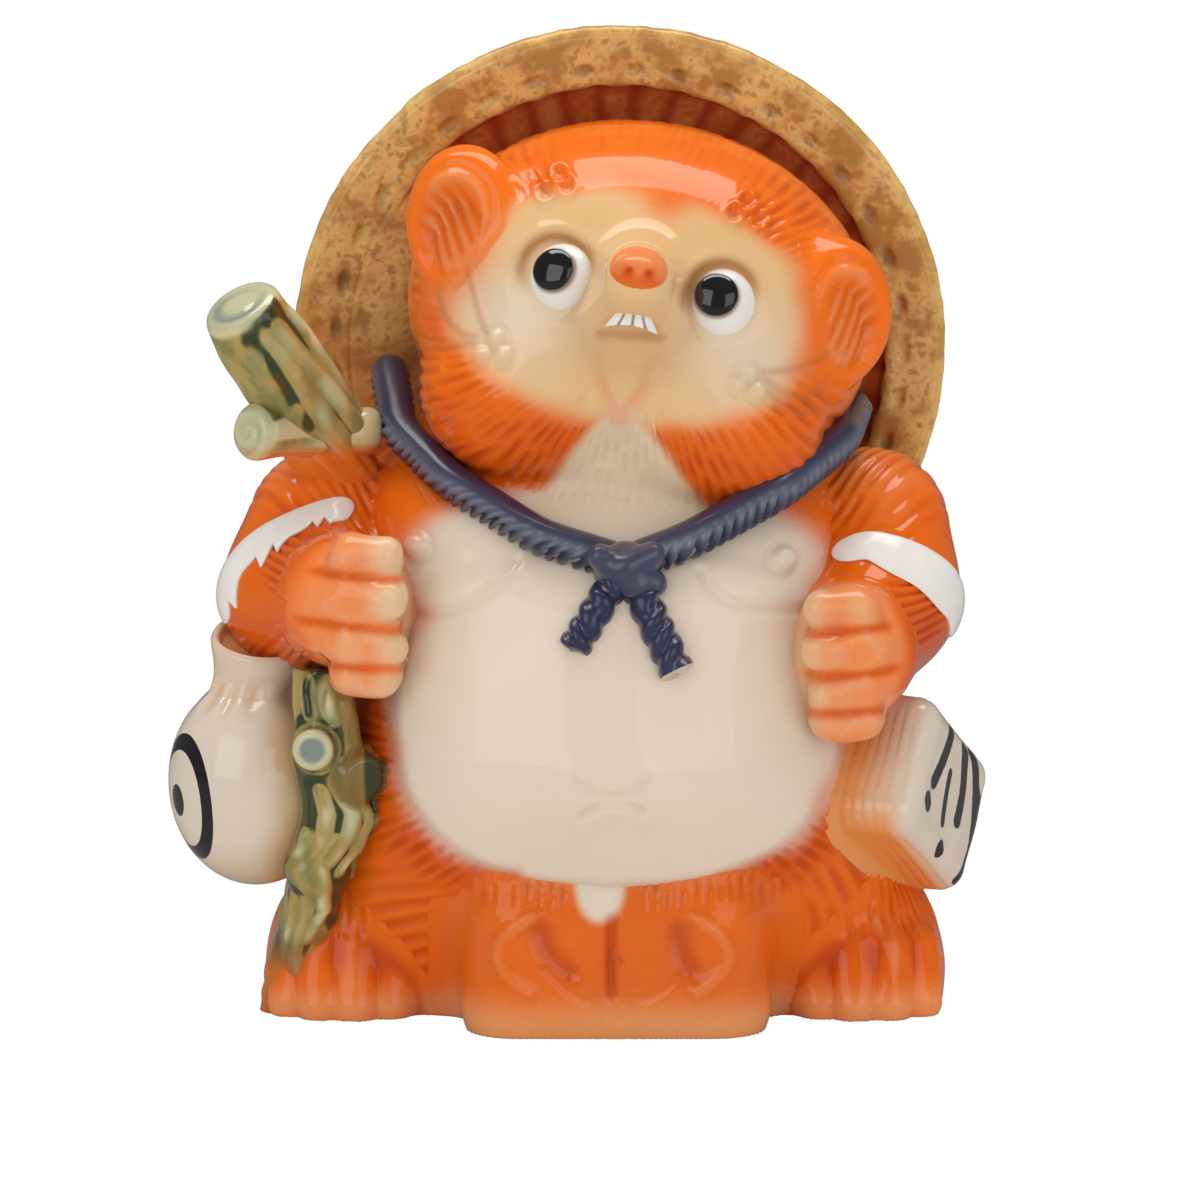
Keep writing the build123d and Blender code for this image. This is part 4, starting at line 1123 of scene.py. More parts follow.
for name, (arm, *fingers) in hands.items():
    side, *_, wrist = arms[arm]
    own, sleeve = hand_form(arm, fingers), arm_form(arm)
    ground = lambda points: luted(body_field(points), sleeve(points), 5.0)
    start = np.array(wrist) + (-side * 1.0, -8.0, -1.0)
    rings = cast(skirted(own, ground, 4.0), start, (-side * 0.3, -1, 0), 190, 340, 40.0)
    x, y = side * (rings[..., 0] - wrist[0]), rings[..., 1] - wrist[1]
    split = np.zeros(x.shape)
    for (_, tip, radius), (_, next_tip, next_radius) in zip(fingers, fingers[1:]):
        crease = (tip[2] - radius + next_tip[2] + next_radius) / 2 + 0.06 * x
        split = np.maximum(split, mound(rings[..., 2] - crease, 1.2))
    split = split * ease(y, -9.0, -13.0)
    lumps = clay_noise(rings, 5.0, 71 + side)
    rings = raised(rings, 0.5 * lumps - 0.45 * split)
    tips = ease(x, -3.0, -13.0)
    pale = np.clip(0.34 + 0.42 * tips + 0.18 * ease(y, -13.0, -18.0) * ease(lumps, -0.4, 0.6), 0, 1)
    masks = sprayed(pale * (1 - 0.7 * split), 0.05 + 0.6 * split * (1 - tips), 0.7)
    under = blended(sleeve, rings, arm_masks(rings, side), body_masks(rings))
    masks = blended(own, rings, masks, under, 3.4)
    clay_mesh(name, rings, orange_glaze, "orange_glaze", **masks)

# Staff: a knotty stick above the right hand, rolled from clay with roots drawn down it, and the two
# sawn ends of its side branch. Green, olive and cream glazes are run down it over each other.
staff_root = np.array([-60.0, -10.0, 121.0])
staff_head = np.array([-80.0, -31.0, 159.0])
staff_way = unit(staff_head - staff_root)
staff_side = unit(np.array([1.0, 0, 0]) - staff_way * staff_way[0])
staff_front = np.cross(staff_side, staff_way)


def run_glaze(name):
    """Green and olive run over cream, dark in the grooves and blue-grey on the sawn ends."""
    made, shader, wire = new_finish(name, Roughness=0.15, Coat_Weight=0.7, Coat_Roughness=0.05)
    drawn_out = {0: wire.place(), 1: (1.0, 1.0, 0.28)}
    down = wire.node("ShaderNodeVectorMath", {"operation": "MULTIPLY"}, drawn_out)
    streak = wire.noise(230.0, 3.0, down)
    blot = wire.noise(120.0, 2.0)
    wood = wire.mix(streak.step(0.38, 0.62), (0.42, 0.3, 0.085, 1), (0.24, 0.22, 0.065, 1))
    cream = wire.mix(blot.step(0.4, 0.65), (0.66, 0.56, 0.3, 1), (0.5, 0.5, 0.27, 1))
    wood = wire.mix((wire.mask("ridge") + blot * 0.9 + streak * 0.3 - 0.6).step(0.1, 0.75), wood, cream)
    pooled = (wire.mask("groove") + blot * 0.5 + streak * 0.4 - 0.45).step(0.3, 0.8)
    wood = wire.mix(pooled, wood, (0.035, 0.048, 0.016, 1))
    wood = wire.mix(wire.mask("brown"), wood, (0.17, 0.105, 0.025, 1))
    wood = wire.mix(wire.mask("orange"), wood, (0.78, 0.17, 0.015, 1))
    wood = wire.mix(wire.mask("sawn"), wood, (0.55, 0.54, 0.32, 1))
    feed(wire, shader, Base_Color=wire.mix(wire.mask("grey"), wood, (0.2, 0.23, 0.23, 1)))
    feed(wire, shader, Normal=wire.bump(streak, 0.15, 0.0006))
    return made


green_glaze = run_glaze("run green glaze")


def roll_field(points, spots):
    """How far points lie outside a bent roll of clay, given by places and radii along it."""
    form = np.full(points.shape[:-1], 1e3)
    for (start, start_radius), (end, end_radius) in zip(spots, spots[1:]):
        form = luted(form, limb_field(points, start, start_radius, end, end_radius), 2.0)
    return form


def sawn_off(form, past, edge):
    """A form cut off where past is above 0, with its edge rounded over that width."""
    share = np.maximum(edge - np.abs(form - past), 0) / edge
    return np.maximum(form, past) + share**2 * edge / 4


def on_staff(share, angle, out):
    """A place by its share of the staff's length, its angle from the right to the front, and its reach."""
    turn = np.radians(angle)
    middle = staff_root + (staff_head - staff_root) * share
    return middle + out * (np.cos(turn) * staff_side + np.sin(turn) * staff_front)


staff_flare = ((on_staff(0.7, 6.0, 2.0), 6.2), (on_staff(0.2, 8.0, 6.5), 4.4))
staff_ridges = ((4, -14, 1.0), (38, -24, 0.95), (66, -30, 0.8), (98, -20, 0.4), (150, 0, 0.6), (-62, 0, 0.8))


def staff_field(points):
    stem = limb_field(points, staff_root - 4 * staff_way, 7.4, staff_head + 4 * staff_way, 8.8)
    form = luted(stem, roll_field(points, staff_flare), 6.0)
    return sawn_off(form, (points - staff_head) @ staff_way, 3.0)


def ridged(turn, along, ridges, width):
    """How high drawn ridges stand, 0 to 1, where each has a turn in degrees at its start and a bend."""
    high = np.zeros(np.broadcast(turn, along).shape)
    for start, bend, height in ridges:
        wander = start + bend * along + 5 * np.sin(6 * along + start)
        off = (turn - wander + 180) % 360 - 180
        high = np.maximum(high, height * mound(off, width))
    return high


rings = cast(staff_field, staff_root + 20 * staff_way, -staff_front - 0.4 * staff_way, 200, 300, 60.0)
spot = rings - staff_head
behind = spot @ staff_way
off = np.linalg.norm(np.cross(spot, staff_way), axis=-1)
turn = np.degrees(np.arctan2(spot @ staff_front, spot @ staff_side))
end = ease(behind, -1.6, -0.5)
ridge = ridged(turn, -behind / 47, staff_ridges, 15.0) * ease(behind, -0.5, -9.0)
dished = mound(off - 5.4, 1.5)
rings = raised(rings, 1.6 * ridge + 0.5 * clay_noise(rings, 6.0, 82) * (1 - end) - 0.5 * end * dished)
facing_right = ease(turn, -40.0, -10.0) * ease(turn, 112.0, 88.0)
run_down = ease(clay_noise(rings * (1, 1, 0.3), 3.4, 83), -0.7, 0.1)
low = ease(rings[..., 2], 130.0, 123.0)
speckled = 0.35 + 0.6 * ease(clay_noise(rings * (1, 1, 0.4), 5.0, 89), -0.4, 0.4)
masks = {"sawn": end, "orange": 0.95 * low, "brown": 0.0}
masks["groove"] = (1 - end) * ease(ridge, 0.55, 0.12) * facing_right * run_down
masks["ridge"] = np.maximum(speckled * ridge**1.4, mound(behind + 1.6, 1.2))
masks["grey"] = 0.8 * end * dished * ease(spot[..., 2], 4.0, -2.0)
clay_mesh("staff_top", rings, green_glaze, "green_glaze", **masks)

branch_left = np.array([-78.5, -27.0, 130.5])
branch_right = np.array([-51.0, -14.0, 129.5])
branch_middle = np.array([-65.0, -18.5, 129.0])
branch_face = np.array([-0.62, -0.78, 0.1])


def branch_field(points):
    left = limb_field(points, branch_middle, 4.6, branch_left + (1.5, 0.7, 0), 6.4)
    right = limb_field(points, branch_middle, 4.6, branch_right, 5.5)
    left = sawn_off(left, (points - branch_left) @ branch_face, 3.0)
    return luted(left, sawn_off(right, points[..., 0] + 49.5, 4.5), 2.0)


rings = cast(branch_field, branch_middle, branch_middle - branch_left, 190, 220, 40.0)
spot = rings - branch_left
off = np.linalg.norm(np.cross(spot, branch_face), axis=-1)
turn = np.arctan2(spot[..., 2], spot[..., 0])
end = ease(spot @ branch_face, -2.2, -0.8)
swirl = 0.5 + 0.5 * np.cos(turn + 2 * np.pi * off / 3.4)
furrow = ease(clay_noise(rings * (0.35, 0.35, 1), 3.2, 84), 0.15, 0.7) * (1 - end)
furrow = furrow * ease(rings[..., 0], -58.0, -62.0)
rings = raised(rings, -0.5 * furrow - 0.35 * end * swirl + 0.4 * clay_noise(rings, 7.0, 85))
under = ease(rings[..., 2], 128.0, 124.5)
masks = {"groove": 0.5 * furrow + 0.3 * end * swirl, "ridge": 0.7 * (1 - furrow) * (1 - under)}
masks.update(sawn=0.75 * end * (1 - 0.6 * swirl), grey=0.15 * end * swirl, orange=0.75 * under, brown=0.0)
clay_mesh("staff_stubs", rings, green_glaze, "green_glaze", **masks)

# Foot of the staff: the knotty stick again below the hand, pressed against the flask and the thigh, with
# two sawn knots and thin roots drawn down it. It stands on the table with the feet.
foot_spots = (
    ((-61.5, -34.0, 80.0), 6.5),
    ((-61.0, -36.0, 62.0), 7.4),
    ((-58.5, -34.0, 48.0), 7.6),
    ((-63.0, -31.5, 35.0), 6.6),
    ((-66.0, -26.0, 23.0), 6.0),
    ((-69.5, -20.0, 9.0), 6.0),
    ((-71.5, -17.0, -6.0), 6.6),
)
foot_knots = (
    (((-62.0, -36.0, 62.0), 5.2), ((-64.0, -48.6, 63.0), 4.4)),
    (((-57.5, -36.0, 57.5), 6.0), ((-51.0, -44.0, 55.0), 5.4)),
)
foot_burl = ((-65.4, -34.0, 33.8), (5.0, 5.0, 4.6))
foot_roots = (
    ((79.0, -118.0), (74.0, -122.0), (68.0, -112.0)),
    ((78.0, -72.0), (72.0, -78.0), (67.0, -70.0)),
    ((56.0, -84.0), (49.0, -66.0), (42.0, -58.0), (35.0, -78.0)),
    ((55.0, -112.0), (47.0, -104.0), (41.0, -96.0), (36.0, -112.0)),
    ((51.0, -44.0), (46.0, -30.0), (39.0, -30.0), (33.0, -52.0)),
    ((44.0, -80.0), (38.0, -92.0), (31.0, -76.0), (25.0, -60.0), (17.0, -84.0)),
    ((45.0, -140.0), (40.0, -132.0), (35.0, -140.0)),
    ((30.0, -128.0), (24.0, -120.0), (13.0, -112.0)),
    ((30.0, -98.0), (25.0, -92.0), (15.0, -98.0), (8.0, -70.0)),
)


def knot_end(knot):
    """Where a knot is sawn off, and the way that its end looks."""
    (start, _), (end, _) = knot
    way = unit(np.array(end) - start)
    return end - 2.0 * way, way


def knot_form(points, knot):
    end, way = knot_end(knot)
    return sawn_off(roll_field(points, knot), (points - end) @ way, 2.0)


def burl_field(points):
    return egg_field(points, foot_burl[0], upright_axes, foot_burl[1])


def staff_foot_field(points):
    form = luted(roll_field(points, foot_spots), burl_field(points), 2.0)
    for knot in foot_knots:
        form = luted(form, knot_form(points, knot), 2.4)
    return form


heights = np.linspace(0.03, 79.0, 230)
up_stem = np.array([spot for spot, _ in foot_spots])[::-1]
path = np.stack([np.interp(heights, up_stem[:, 2], up_stem[:, axis]) for axis in (0, 1)] + [heights], axis=-1)
turn = np.linspace(0, 2 * np.pi, 260, endpoint=False)
rays = np.stack([np.cos(turn), np.sin(turn), 0 * turn], axis=-1)[None]
rings = leaving(skirted(staff_foot_field, body_field, 1.5), path[:, None], rays, 22.0)
rings = closed(rings, path[[0, -1]])
height = rings[..., 2]
turn = np.degrees(turn)
knots = [ease(knot_form(rings, knot), 1.4, 0.2) for knot in foot_knots]
burl = ease(burl_field(rings), 1.4, 0.2)
ridge = np.zeros(height.shape)
for root in foot_roots:
    levels, turns = np.array(root)[::-1].T
    off = (turn - np.interp(height, levels, turns) + 180) % 360 - 180
    low, high = levels[0], levels[-1]
    tapered = ease(height, low - 1.0, low + 3.0) * ease(height, high + 1.0, high - 3.0)
    ridge = np.maximum(ridge, tapered * mound(off, 12.0))
plain = (1 - knots[0]) * (1 - knots[1]) * (1 - burl)
ridge = ridge * plain
standing_part = ease(height, 0.5, 4.0)
lumps = clay_noise(rings, 4.5, 86)
rings = raised(rings, (1.2 * ridge + 0.6 * lumps * (1 - knots[0])) * standing_part)
pool = ease(clay_noise(rings * (1, 1, 0.45), 4.2, 87), -0.5, 0.1)
broken = ease(clay_noise(rings, 4.8, 88), -0.35, 0.45)
from_right = (turn + 180) % 360 - 180
near_front = ease(from_right, -175.0, -150.0) * ease(from_right, 10.0, -15.0)
dark_root = ridge * ease(height, 66.0, 69.0) * ease(from_right, -92.0, -100.0)
groove = 0.85 * ease(ridge, 0.4, 0.08) * plain * near_front * pool
groove = np.maximum(np.maximum(groove, 0.9 * burl * pool), dark_root)
end, way = knot_end(foot_knots[0])
spot, radius = rings - end, foot_knots[0][1][1]
off = np.linalg.norm(np.cross(spot, way), axis=-1) + 0.5 * lumps
flat_end = ease(spot @ way, -1.6, -0.6) * ease(off, radius + 1.5, radius + 0.5)
groove = np.maximum(groove, 0.6 * knots[0] * pool) * (1 - flat_end)
right_end = knots[1] * ease(rings[..., 0], -54.0, -51.5)
low_left = ease(height, 21.0, 16.0) * ease(rings[..., 0], -66.0, -70.0)
skirt = ease(staff_foot_field(rings) - 1.2 * ridge, 0.3, 2.2)
thin = np.maximum(0.85 * skirt, 0.75 * ease(height, 18.0, 8.0))
masks = {"groove": np.maximum(groove, 0.85 * right_end), "orange": thin * (1 - 0.5 * ridge)}
masks["ridge"] = (0.25 + 0.6 * broken) * ridge * (1 - dark_root)
masks["brown"] = np.maximum(0.75 * knots[1] * (1 - right_end), 0.6 * low_left)
masks.update(sawn=flat_end, grey=0.9 * flat_end * ease(off, 3.6, 2.4))
clay_mesh("staff_foot", rings, green_glaze, "green_glaze", **masks)

# Flask: a round sake flask pressed solid against the right hip, with a gathered collar and a shallow
# blind mouth. It is left cream, with a ring and a dot brushed on in black.
flask_middle = np.array([-77.6, -18.0, 52.0])
flask_radii = (19.5, 19.5, 23.5)
neck_base = 70.0
neck_top = 84.5
flask_mark = np.array([-93.5, -27.0, 49.0])
flask_ring = (9.5, 12.5)


def cream_finish(name):
    """Cream glaze that thins to tan and orange, with black brushed marks. In folds the tan and orange are
    painted shade.
    """
    made, shader, wire = new_finish(name, Roughness=0.16, Coat_Weight=0.6, Coat_Roughness=0.06)
    cloud = wire.noise(60.0, 3.0)
    cream = wire.mix(cloud, (0.66, 0.56, 0.45, 1), (0.76, 0.66, 0.53, 1))
    cream = wire.mix(wire.mask("tan") + (cloud - 0.5) * 0.2, cream, (0.62, 0.4, 0.2, 1))
    cream = wire.mix(wire.mask("orange") + (cloud - 0.5) * 0.2, cream, (0.82, 0.3, 0.07, 1))
    ink = (wire.mask("ink") + (wire.noise(500.0) - 0.5) * 0.25).step(0.42, 0.58)
    feed(wire, shader, Base_Color=wire.mix(ink, cream, (0.012, 0.01, 0.014, 1)))
    feed(wire, shader, Normal=wire.bump(wire.noise(240.0, 2.0), 0.06, 0.001))
    return made


cream_glaze = cream_finish("cream glaze")


def flask_field(points):
    return egg_field(points, flask_middle, upright_axes, flask_radii)


def pleats(turn):
    """Uneven pleats gathered round the neck, from -1 in the folds to 1."""
    return np.cos(turn * 11 + 1.5 * np.sin(turn * 3))


rings = cast(skirted(flask_field, body_field, 2.5), flask_middle, (-0.5, -1, 0), 170, 320, 40.0)
mark_way = unit(flask_mark - flask_middle)
mark_side = unit(np.cross((0, 0, 1.0), mark_way))
spot = rings - flask_mark
wide, high = spot @ mark_side / flask_ring[0], spot @ np.cross(mark_way, mark_side) / flask_ring[1]
near = ((rings - flask_middle) @ mark_way > 4.0) * 1.0
reach = np.hypot(wide, high)
ink = np.maximum(ease(np.abs(reach - 1.0), 0.17, 0.1), ease(reach, 0.34, 0.24)) * near
turn = np.arctan2(rings[..., 1] - flask_middle[1], rings[..., 0] - flask_middle[0])
gathers = ease(rings[..., 2], 66.0, 71.0)
rings = raised(rings, 0.35 * gathers * pleats(turn))
low, by_staff = ease(rings[..., 2], 42.0, 28.0), ease(staff_foot_field(rings), 9.0, 1.0)
# Painted shade in the folds of the gathered collar, as a touch of orange.
folds = 0.2 * gathers * ease(pleats(turn), 0.2, -0.9)
masks = {"ink": ink, "tan": np.maximum(0.6 * low, 0.85 * by_staff)}
masks["orange"] = np.maximum(folds, 0.95 * ease(flask_field(rings), 0.2, 1.5))
clay_mesh("flask_body", rings, cream_glaze, "cream_glaze", **masks)
neck_profile = (
    (0.0, neck_base - 2),
    (11.6, neck_base - 1),
    (10.4, 73.0),
    (10.2, 76.0),
    (11.0, 80.0),
    (11.4, 83.2),
    (10.6, neck_top),
    (9.4, 83.8),
    (8.6, 81.6),
    (0.0, 80.6),
)
neck = smoothed(turned(neck_profile, (10,) * 9), 6)
turn = np.linspace(0, 2 * np.pi, 180, endpoint=False)
row, out, height = np.arange(len(neck))[:, None], neck[:, :1], neck[:, 1:]
pleat = pleats(turn) * ease(height, 78.0, 72.0) * 0.4 * (row < 45)
radius = out + pleat * (out > 4)
x = flask_middle[0] + 1.5 * ease(height, 70.0, 80.0) + radius * np.cos(turn)
y = flask_middle[1] + radius * np.sin(turn)
z = height - 3.6 * ease(height, 72.0, 82.0) * np.cos(turn + 1.35)
rings = np.stack([x, y, z], axis=-1)
# Painted shade in the folds of the pleats, as tan and orange.
masks = {"ink": 0.0, "tan": 0.3 * ease(-pleat, 0.1, 0.6)}
masks["orange"] = 0.6 * (row > 68) + 0.16 + 0.2 * ease(-pleat, 0.1, 0.4)
clay_mesh("flask_neck", rings, cream_glaze, "cream_glaze", **masks)

# Account book: a thick block with rounded edges at the left hip, its cover turned out and forward. The
# page edges are scored, and the cover has plain brush strokes in black.
book_turn = np.radians(63.0)
book_lean = np.radians(32.0)
book_out = np.array([np.sin(book_turn), -np.cos(book_turn), 0])
book_across = np.array([np.cos(book_turn), np.sin(book_turn), 0])
book_side = book_across * np.cos(book_lean) - np.array([0, 0, 1.0]) * np.sin(book_lean)
book_up = np.cross(book_out, book_side)
book_up = book_up * np.sign(book_up[2])
book_axes = np.array([book_side, book_out, book_up])
book_size = (41.0, 20.0, 33.0)
book_cover = np.array([76.9, -23.0, 49.0])
book_middle = book_cover - book_out * book_size[1] / 2
book_strokes = (
    (bow((-7.0, 13.5), (-8.5, 6.0), (-10.5, -1.0)), 2.1),
    (bow((-3.5, 4.0), (-3.0, -1.0), (-1.5, -7.0)), 1.4),
    (bow((1.5, 12.0), (5.0, 4.0), (5.5, -3.5)), 2.2),
    (bow((6.5, 14.0), (12.5, 6.0), (15.5, -2.0)), 2.2),
    (bow((16.0, 4.0), (17.0, -5.0), (16.0, -15.0)), 3.0),
    (bow((-12.0, -6.0), (-11.6, -6.4), (-11.2, -6.8)), 2.2),
    (bow((0.5, -12.0), (1.0, -12.4), (1.5, -12.8)), 1.9),
)


def hip_field(points):
    return luted(body_field(points), arm_form("arm_left")(points), 4.0)


def book_field(points):
    return box_field(points, book_middle, book_axes, np.array(book_size) / 2, 6.0)


rings = cast(skirted(book_field, hip_field, 5.0), book_middle, book_out, 220, 360, 50.0, 0.85)
local = (rings - book_middle) @ book_axes.T
cover = ease(local[..., 1], 7.0, 9.0)
drawn = np.stack([local[..., 0], -cover, local[..., 2]], axis=-1)
ink = np.clip(sum(stroke(drawn, line, width) for line, width in book_strokes), 0, 1) * cover
leaves = local[..., 1] / 2.6 + 0.5 * clay_noise(rings, 14.0, 90)
pages = (1 - cover) * (0.5 - 0.5 * np.cos(2 * np.pi * leaves)) ** 3
pages = pages * ease(clay_noise(rings, 8.0, 92), -0.7, 0.4)
rings = raised(rings, -0.16 * pages + 0.3 * clay_noise(rings, 8.0, 91))
skirt = ease(book_field(rings), 0.3, 2.5)
masks = {"ink": ink, "tan": 0.2 * (1 - cover) + 0.2 * pages}
low_side = ease(rings[..., 2], 56.0, 42.0) * ease(local[..., 1], 8.5, 4.0)
thin = (1 - cover) * (ease(local[..., 1], 6.0, -6.0) * 0.9 + 0.12 * pages)
masks["orange"] = np.maximum(np.maximum(0.95 * skirt, thin), 0.95 * low_side)
clay_mesh("ledger", rings, cream_glaze, "cream_glaze", **masks)

# Straps: two flat bands of clay over the forearms, which the flask and the account book hang from.
# They are brushed white, and the brush has strayed over their lower edge.
strap_thickness = 1.1
strap_half_width = 2.7
straps = {
    "flask_cord": (
        "arm_right",
        0.75,
        (-54.5, -21.0, 115.0),
        (-62.0, -24.0, 114.0),
        (-69.0, -23.0, 109.0),
        (-75.0, -18.0, 101.5),
        (-79.5, -12.0, 91.0),
    ),
    "ledger_cord": (
        "arm_left",
        0.12,
        (51.5, -24.0, 102.5),
        (58.0, -24.0, 104.5),
        (65.0, -21.0, 101.0),
        (71.0, -16.0, 96.0),
        (75.5, -10.0, 88.0),
    ),
}


def arc_path(*spots, count):
    """Points along a smooth line through a few places."""
    spots = np.array(spots, float)
    known = np.concatenate([[0], np.cumsum(np.linalg.norm(np.diff(spots, axis=0), axis=1))])
    share = np.linspace(0, known[-1], count)
    path = np.stack([np.interp(share, known, spots[:, axis]) for axis in range(3)], axis=-1)
    return smoothed(path, count // 2)


for name, (arm, fray, *spots) in straps.items():
    shoulder, elbow = arms[arm][1:3]
    middle = (np.array(shoulder) + 2 * np.array(elbow)) / 3
    path = arc_path(*spots, count=110)
    across = unit(np.cross(np.gradient(path, axis=0), path - middle))
    across *= np.sign(across[:, 2:])
    share = np.linspace(0, 1, len(path))[:, None]
    ragged = 1.0 + fray * (share * 8 + 0.4 * np.sin(share * 23)) % 1
    taper = np.sqrt(np.clip(1 - (2 * share - 1) ** 8, 0.02, 1))
    turn = np.linspace(0, 2 * np.pi, 40, endpoint=False)
    wide = np.cos(turn) * np.where(np.cos(turn) < 0, ragged, 1.0) * strap_half_width * taper
    rays = unit(path[:, None] + across[:, None] * wide[..., None] - middle)
    seat = leaving(skirted(arm_form(arm), torso_field, 5.0), middle, rays, 60.0)
    lift = np.where(np.sin(turn) > 0, strap_thickness * np.abs(np.sin(turn)) ** 0.5, -1.5) * taper
    rings = seat + rays * lift[..., None]
    clay_mesh(name, closed(rings), white_glaze, "cream_glaze", line=0.0)

# Rope: a twisted collar in two halves laid over the breast under the jowls, with a knot and two loose
# ends. The strands are cut with a tool and painted navy, a little past the clay.
rope_radius = 4.0
rope_pitch = 2.9
rope_slant = 0.9
knot_middle = np.array([4.5, -49.3, 104.0])


def brushed_navy(name):
    """Navy under-glaze with a grey band of painted sheen along the middle of the roll, and bare clay in the
    cuts.
    """
    made, shader, wire = new_finish(name, Roughness=0.3, Coat_Weight=0.7, Coat_Roughness=0.2)
    navy = wire.mix(wire.noise(130.0, 4.0), (0.014, 0.016, 0.045, 1), (0.035, 0.04, 0.1, 1))
    navy = wire.mix(wire.mask("crest") * (0.4 + wire.noise(200.0)), navy, (0.15, 0.16, 0.22, 1))
    bare = (wire.mask("bare") + (wire.noise(700.0) - 0.5) * 0.4).step(0.4, 0.7)
    feed(wire, shader, Base_Color=wire.mix(bare, navy, (0.6, 0.46, 0.36, 1)))
    feed(wire, shader, Normal=wire.bump(wire.noise(420.0, 3.0), 0.2, 0.0005))
    return made


navy_glaze = brushed_navy("brushed navy")


def sweep(path, radius, columns):
    """Rings round a path with a radius for each ring and column, drawn to a point at both ends."""
    ahead = unit(np.gradient(path, axis=0))
    side = np.cross(ahead[0], (0.1, 1.0, 0.05))
    sides = []
    for way in ahead:
        side = unit(side - way * (side @ way))
        sides.append(side)
    sides = np.array(sides)[:, None]
    others = np.cross(ahead[:, None], sides)
    turn = np.linspace(0, 2 * np.pi, columns, endpoint=False)[None, :, None]
    rays = np.cos(turn) * sides + np.sin(turn) * others
    rings = path[:, None] + rays * np.broadcast_to(radius, rays.shape[:2])[..., None]
    return closed(rings, path[[0, -1]])


def rope(name, path, radius, slant, collar=True, bare_end=0.0):
    """A roll of clay along a path. A collar is smooth on top and cut into strands along its lower side."""
    length = np.concatenate([[0], np.cumsum(np.linalg.norm(np.diff(path, axis=0), axis=1))])[:, None]
    turn = np.linspace(0, 2 * np.pi, 72, endpoint=False)[None]
    gap = np.minimum(length, (length[-1] - length) * (1 if collar else 6))
    size = radius * np.sqrt(np.clip(1 - (1 - gap / radius).clip(0, 1) ** 2, 0.04, 1)) + 0 * turn
    rings = sweep(path, size, 72)
    below = (path[:, None, 2] - rings[1:-1, :, 2]) / radius
    cut_side = ease(below, -0.45, 0.2) if collar else 0.55 + 0 * below
    lay = slant * radius * below / rope_pitch if collar else np.sign(slant) * turn / np.pi
    along = length / (rope_pitch if collar else 4.3) + lay + 0.3 * clay_noise(rings[1:-1], 5.0, 95)
    worn = 0.75 + 0.45 * clay_noise(rings[1:-1], 4.0, 96)
    cut = (0.5 - 0.5 * np.cos(2 * np.pi * along)) ** 1.6 * worn
    rise = cut_side * (0.6 - 1.7 * cut)
    masks = {"bare": 0.75 * cut * cut_side * ease(below, 0.1, 0.7) if collar else 0.45 * cut}
    # Painted sheen: a grey band along the roll at about the height of its middle.
    masks["crest"] = mound(below + 0.05, 0.4) * collar
    if bare_end:
        painted = length[-1] - bare_end
        masks["bare"] = np.maximum(masks["bare"], ease(length, painted, painted + 0.6))
    masks = {key: repeated_ends(value) for key, value in masks.items()}
    clay_mesh(name, raised(rings, repeated_ends(rise)), navy_glaze, "navy_glaze", **masks)


right_run = (
    (-48.8, 6.0, 143.4),
    (-45.5, -15.0, 130.0),
    (-34.0, -32.5, 120.5),
    (-14.0, -46.5, 109.5),
    knot_middle,
)
left_run = (
    (56.2, 6.0, 134.5),
    (52.0, -17.5, 128.0),
    (38.0, -38.5, 119.0),
    (18.0, -48.0, 109.0),
    knot_middle,
)
right_loose = (knot_middle, (-1.5, -54.5, 95.0), (-7.0, -56.5, 86.0))
left_loose = (knot_middle, (10.0, -55.0, 93.0), (15.8, -58.0, 81.0))
rope("rope_right", arc_path(*right_run, count=280), rope_radius, rope_slant)
rope("rope_left", arc_path(*left_run, count=260), rope_radius, -rope_slant)
rope("rope_end_right", arc_path(*right_loose, count=110), 3.4, 1.0, False)
rope("rope_end_left", arc_path(*left_loose, count=120), 3.6, -1.0, False, 1.2)
knot_turns = (
    ((-5.5, -3.5, 1.8), (2.5, -4.5, -4.5)),
    ((5.5, -3.0, 2.2), (0.5, -5.0, 0.0)),
    ((-1.0, -4.6, -1.0), (6.0, -3.0, -4.0)),
)


def knot_field(points):
    form = egg_field(points, knot_middle + (0, -1.0, -1.5), upright_axes, (7.0, 5.6, 6.5))
    for start, end in knot_turns:
        form = luted(form, limb_field(points, knot_middle + start, 2.9, knot_middle + end, 2.9), 1.4)
    return form


rings = cast(knot_field, knot_middle, (0, -1, 0), 110, 180, 16.0)
# The knot gets a little of the same painted sheen all over.
clay_mesh("rope_knot", rings, navy_glaze, "navy_glaze", bare=0.0, crest=0.25)

# Studio: a sheet of white paper under the figure in a white room, with a soft box overhead and two
# large ones in front. The camera stands where the photo was taken from.
floor_size = 6.0
half = floor_size / 2
floor_mesh = bpy.data.meshes.new("floor")
floor_corners = [(-half, -half, 0), (half, -half, 0), (half, half, 0), (-half, half, 0)]
floor_mesh.from_pydata(floor_corners, [], [(0, 1, 2, 3)])
floor = bpy.data.objects.new("floor", floor_mesh)
bpy.context.collection.objects.link(floor)
white_paper, paper_shader, wire = new_finish("white paper", Roughness=0.9, Base_Color=(0.9, 0.9, 0.9, 1))
glow = wire.node("ShaderNodeEmission", None, {"Color": (1, 1, 1, 1), "Strength": 1.02})
seen = wire.node("ShaderNodeLightPath", output="Is Camera Ray")
lit = Wire(wire.tree, paper_shader.outputs[0])
sheet = wire.node("ShaderNodeMixShader", None, {0: seen * 0.96, 1: lit, 2: glow})
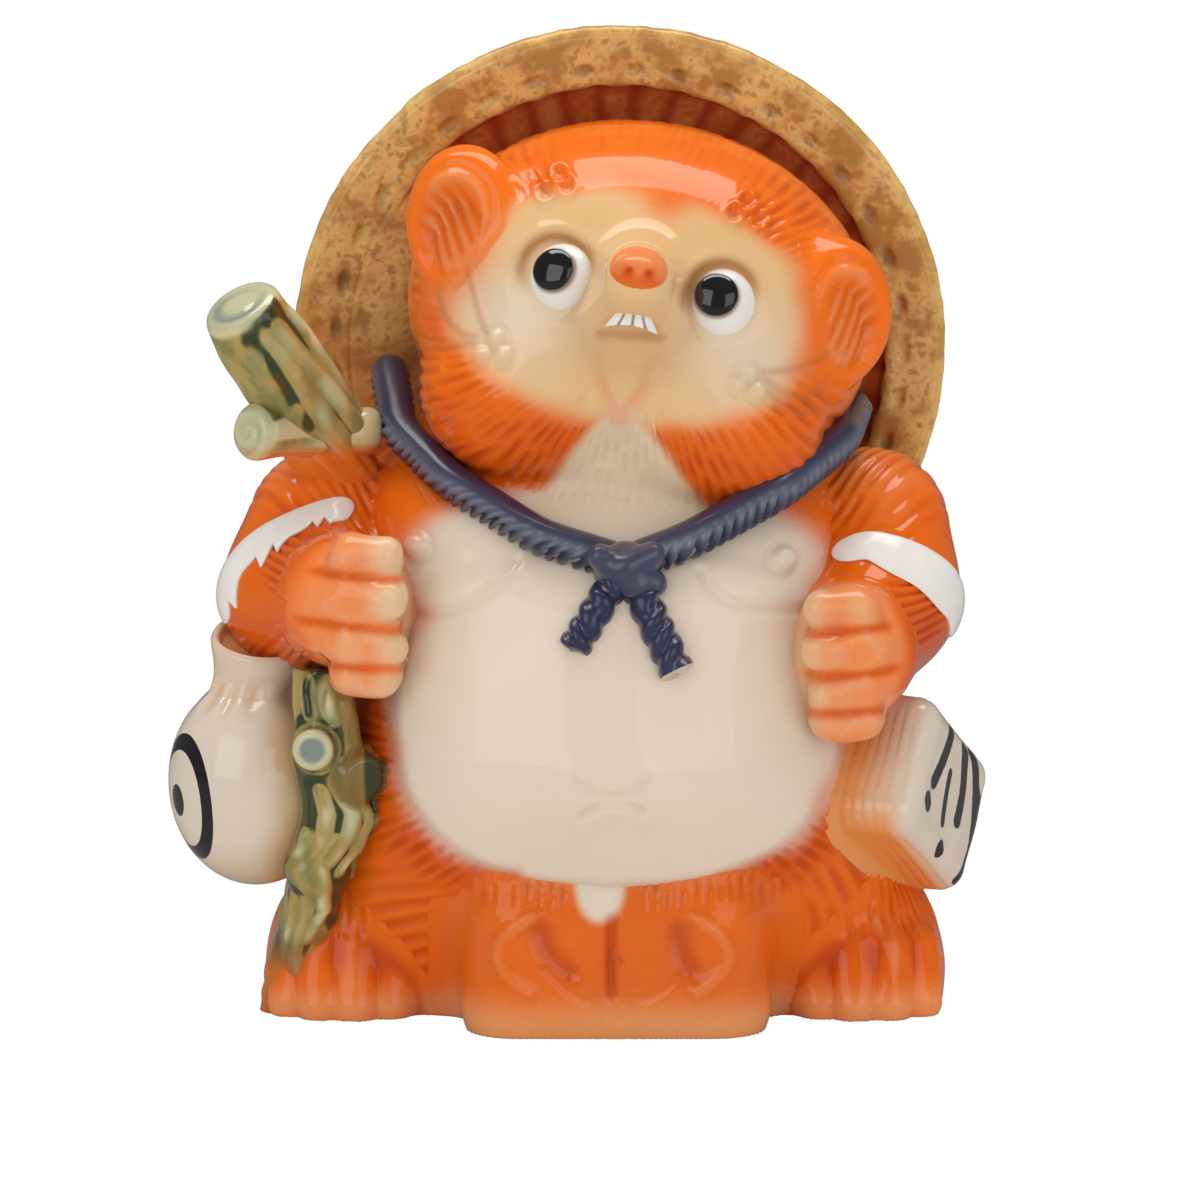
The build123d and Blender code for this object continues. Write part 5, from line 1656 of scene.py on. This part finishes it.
dim = wire.node("ShaderNodeEmission", None, {"Color": (1, 0.9, 0.8, 1), "Strength": 0.12})
mirrored = wire.node("ShaderNodeLightPath", output="Is Glossy Ray")
sheet = wire.node("ShaderNodeMixShader", None, {0: mirrored * 0.85, 1: sheet, 2: dim})
wire.tree.links.new(sheet.socket, wire.tree.nodes["Material Output"].inputs["Surface"])
floor_mesh.materials.append(white_paper)

world = bpy.data.worlds.new("studio")
world.use_nodes = True
bpy.context.scene.world = world
sky = Wire(world.node_tree)
background = world.node_tree.nodes["Background"]
background.inputs["Color"].default_value = (1, 1, 1, 1)
camera_ray = sky.node("ShaderNodeLightPath", output="Is Camera Ray")
glossy_ray = sky.node("ShaderNodeLightPath", output="Is Glossy Ray")
sky.tree.links.new((0.63 + camera_ray * 0.37 - glossy_ray * 0.53).socket, background.inputs["Strength"])


def soft_box(name, place, target, width, height, power):
    """A rectangular studio lamp at a place, turned to a target."""
    lamp = bpy.data.lights.new(name, "AREA")
    lamp.shape = "RECTANGLE"
    lamp.size, lamp.size_y = width, height
    lamp.energy = power
    made = bpy.data.objects.new(name, lamp)
    made.location = place
    made.rotation_euler = (Vector(target) - Vector(place)).to_track_quat("-Z", "Y").to_euler()
    bpy.context.collection.objects.link(made)


figure = (0.0, 0.0, 0.11)
soft_box("overhead", (0.0, 0.06, 1.0), figure, 1.1, 0.4, 5.4)
soft_box("front left", (-1.1, -1.5, 0.8), figure, 1.3, 1.3, 6.0)
soft_box("front right", (1.0, -1.5, 0.45), figure, 1.3, 1.3, 4.6)

camera_data = bpy.data.cameras.new("camera")
camera_data.lens = 160.0
camera_data.sensor_width = 36.0
camera = bpy.data.objects.new("camera", camera_data)
camera_target = Vector((-0.0011, 0.0, 0.090))
camera_distance = 1.2
camera_rise = np.radians(7.0)
camera.location = camera_target + camera_distance * Vector((0, -np.cos(camera_rise), np.sin(camera_rise)))
camera.rotation_euler = (camera_target - camera.location).to_track_quat("-Z", "Y").to_euler()
bpy.context.collection.objects.link(camera)
bpy.context.scene.camera = camera
bpy.context.scene.view_settings.view_transform = "Standard"
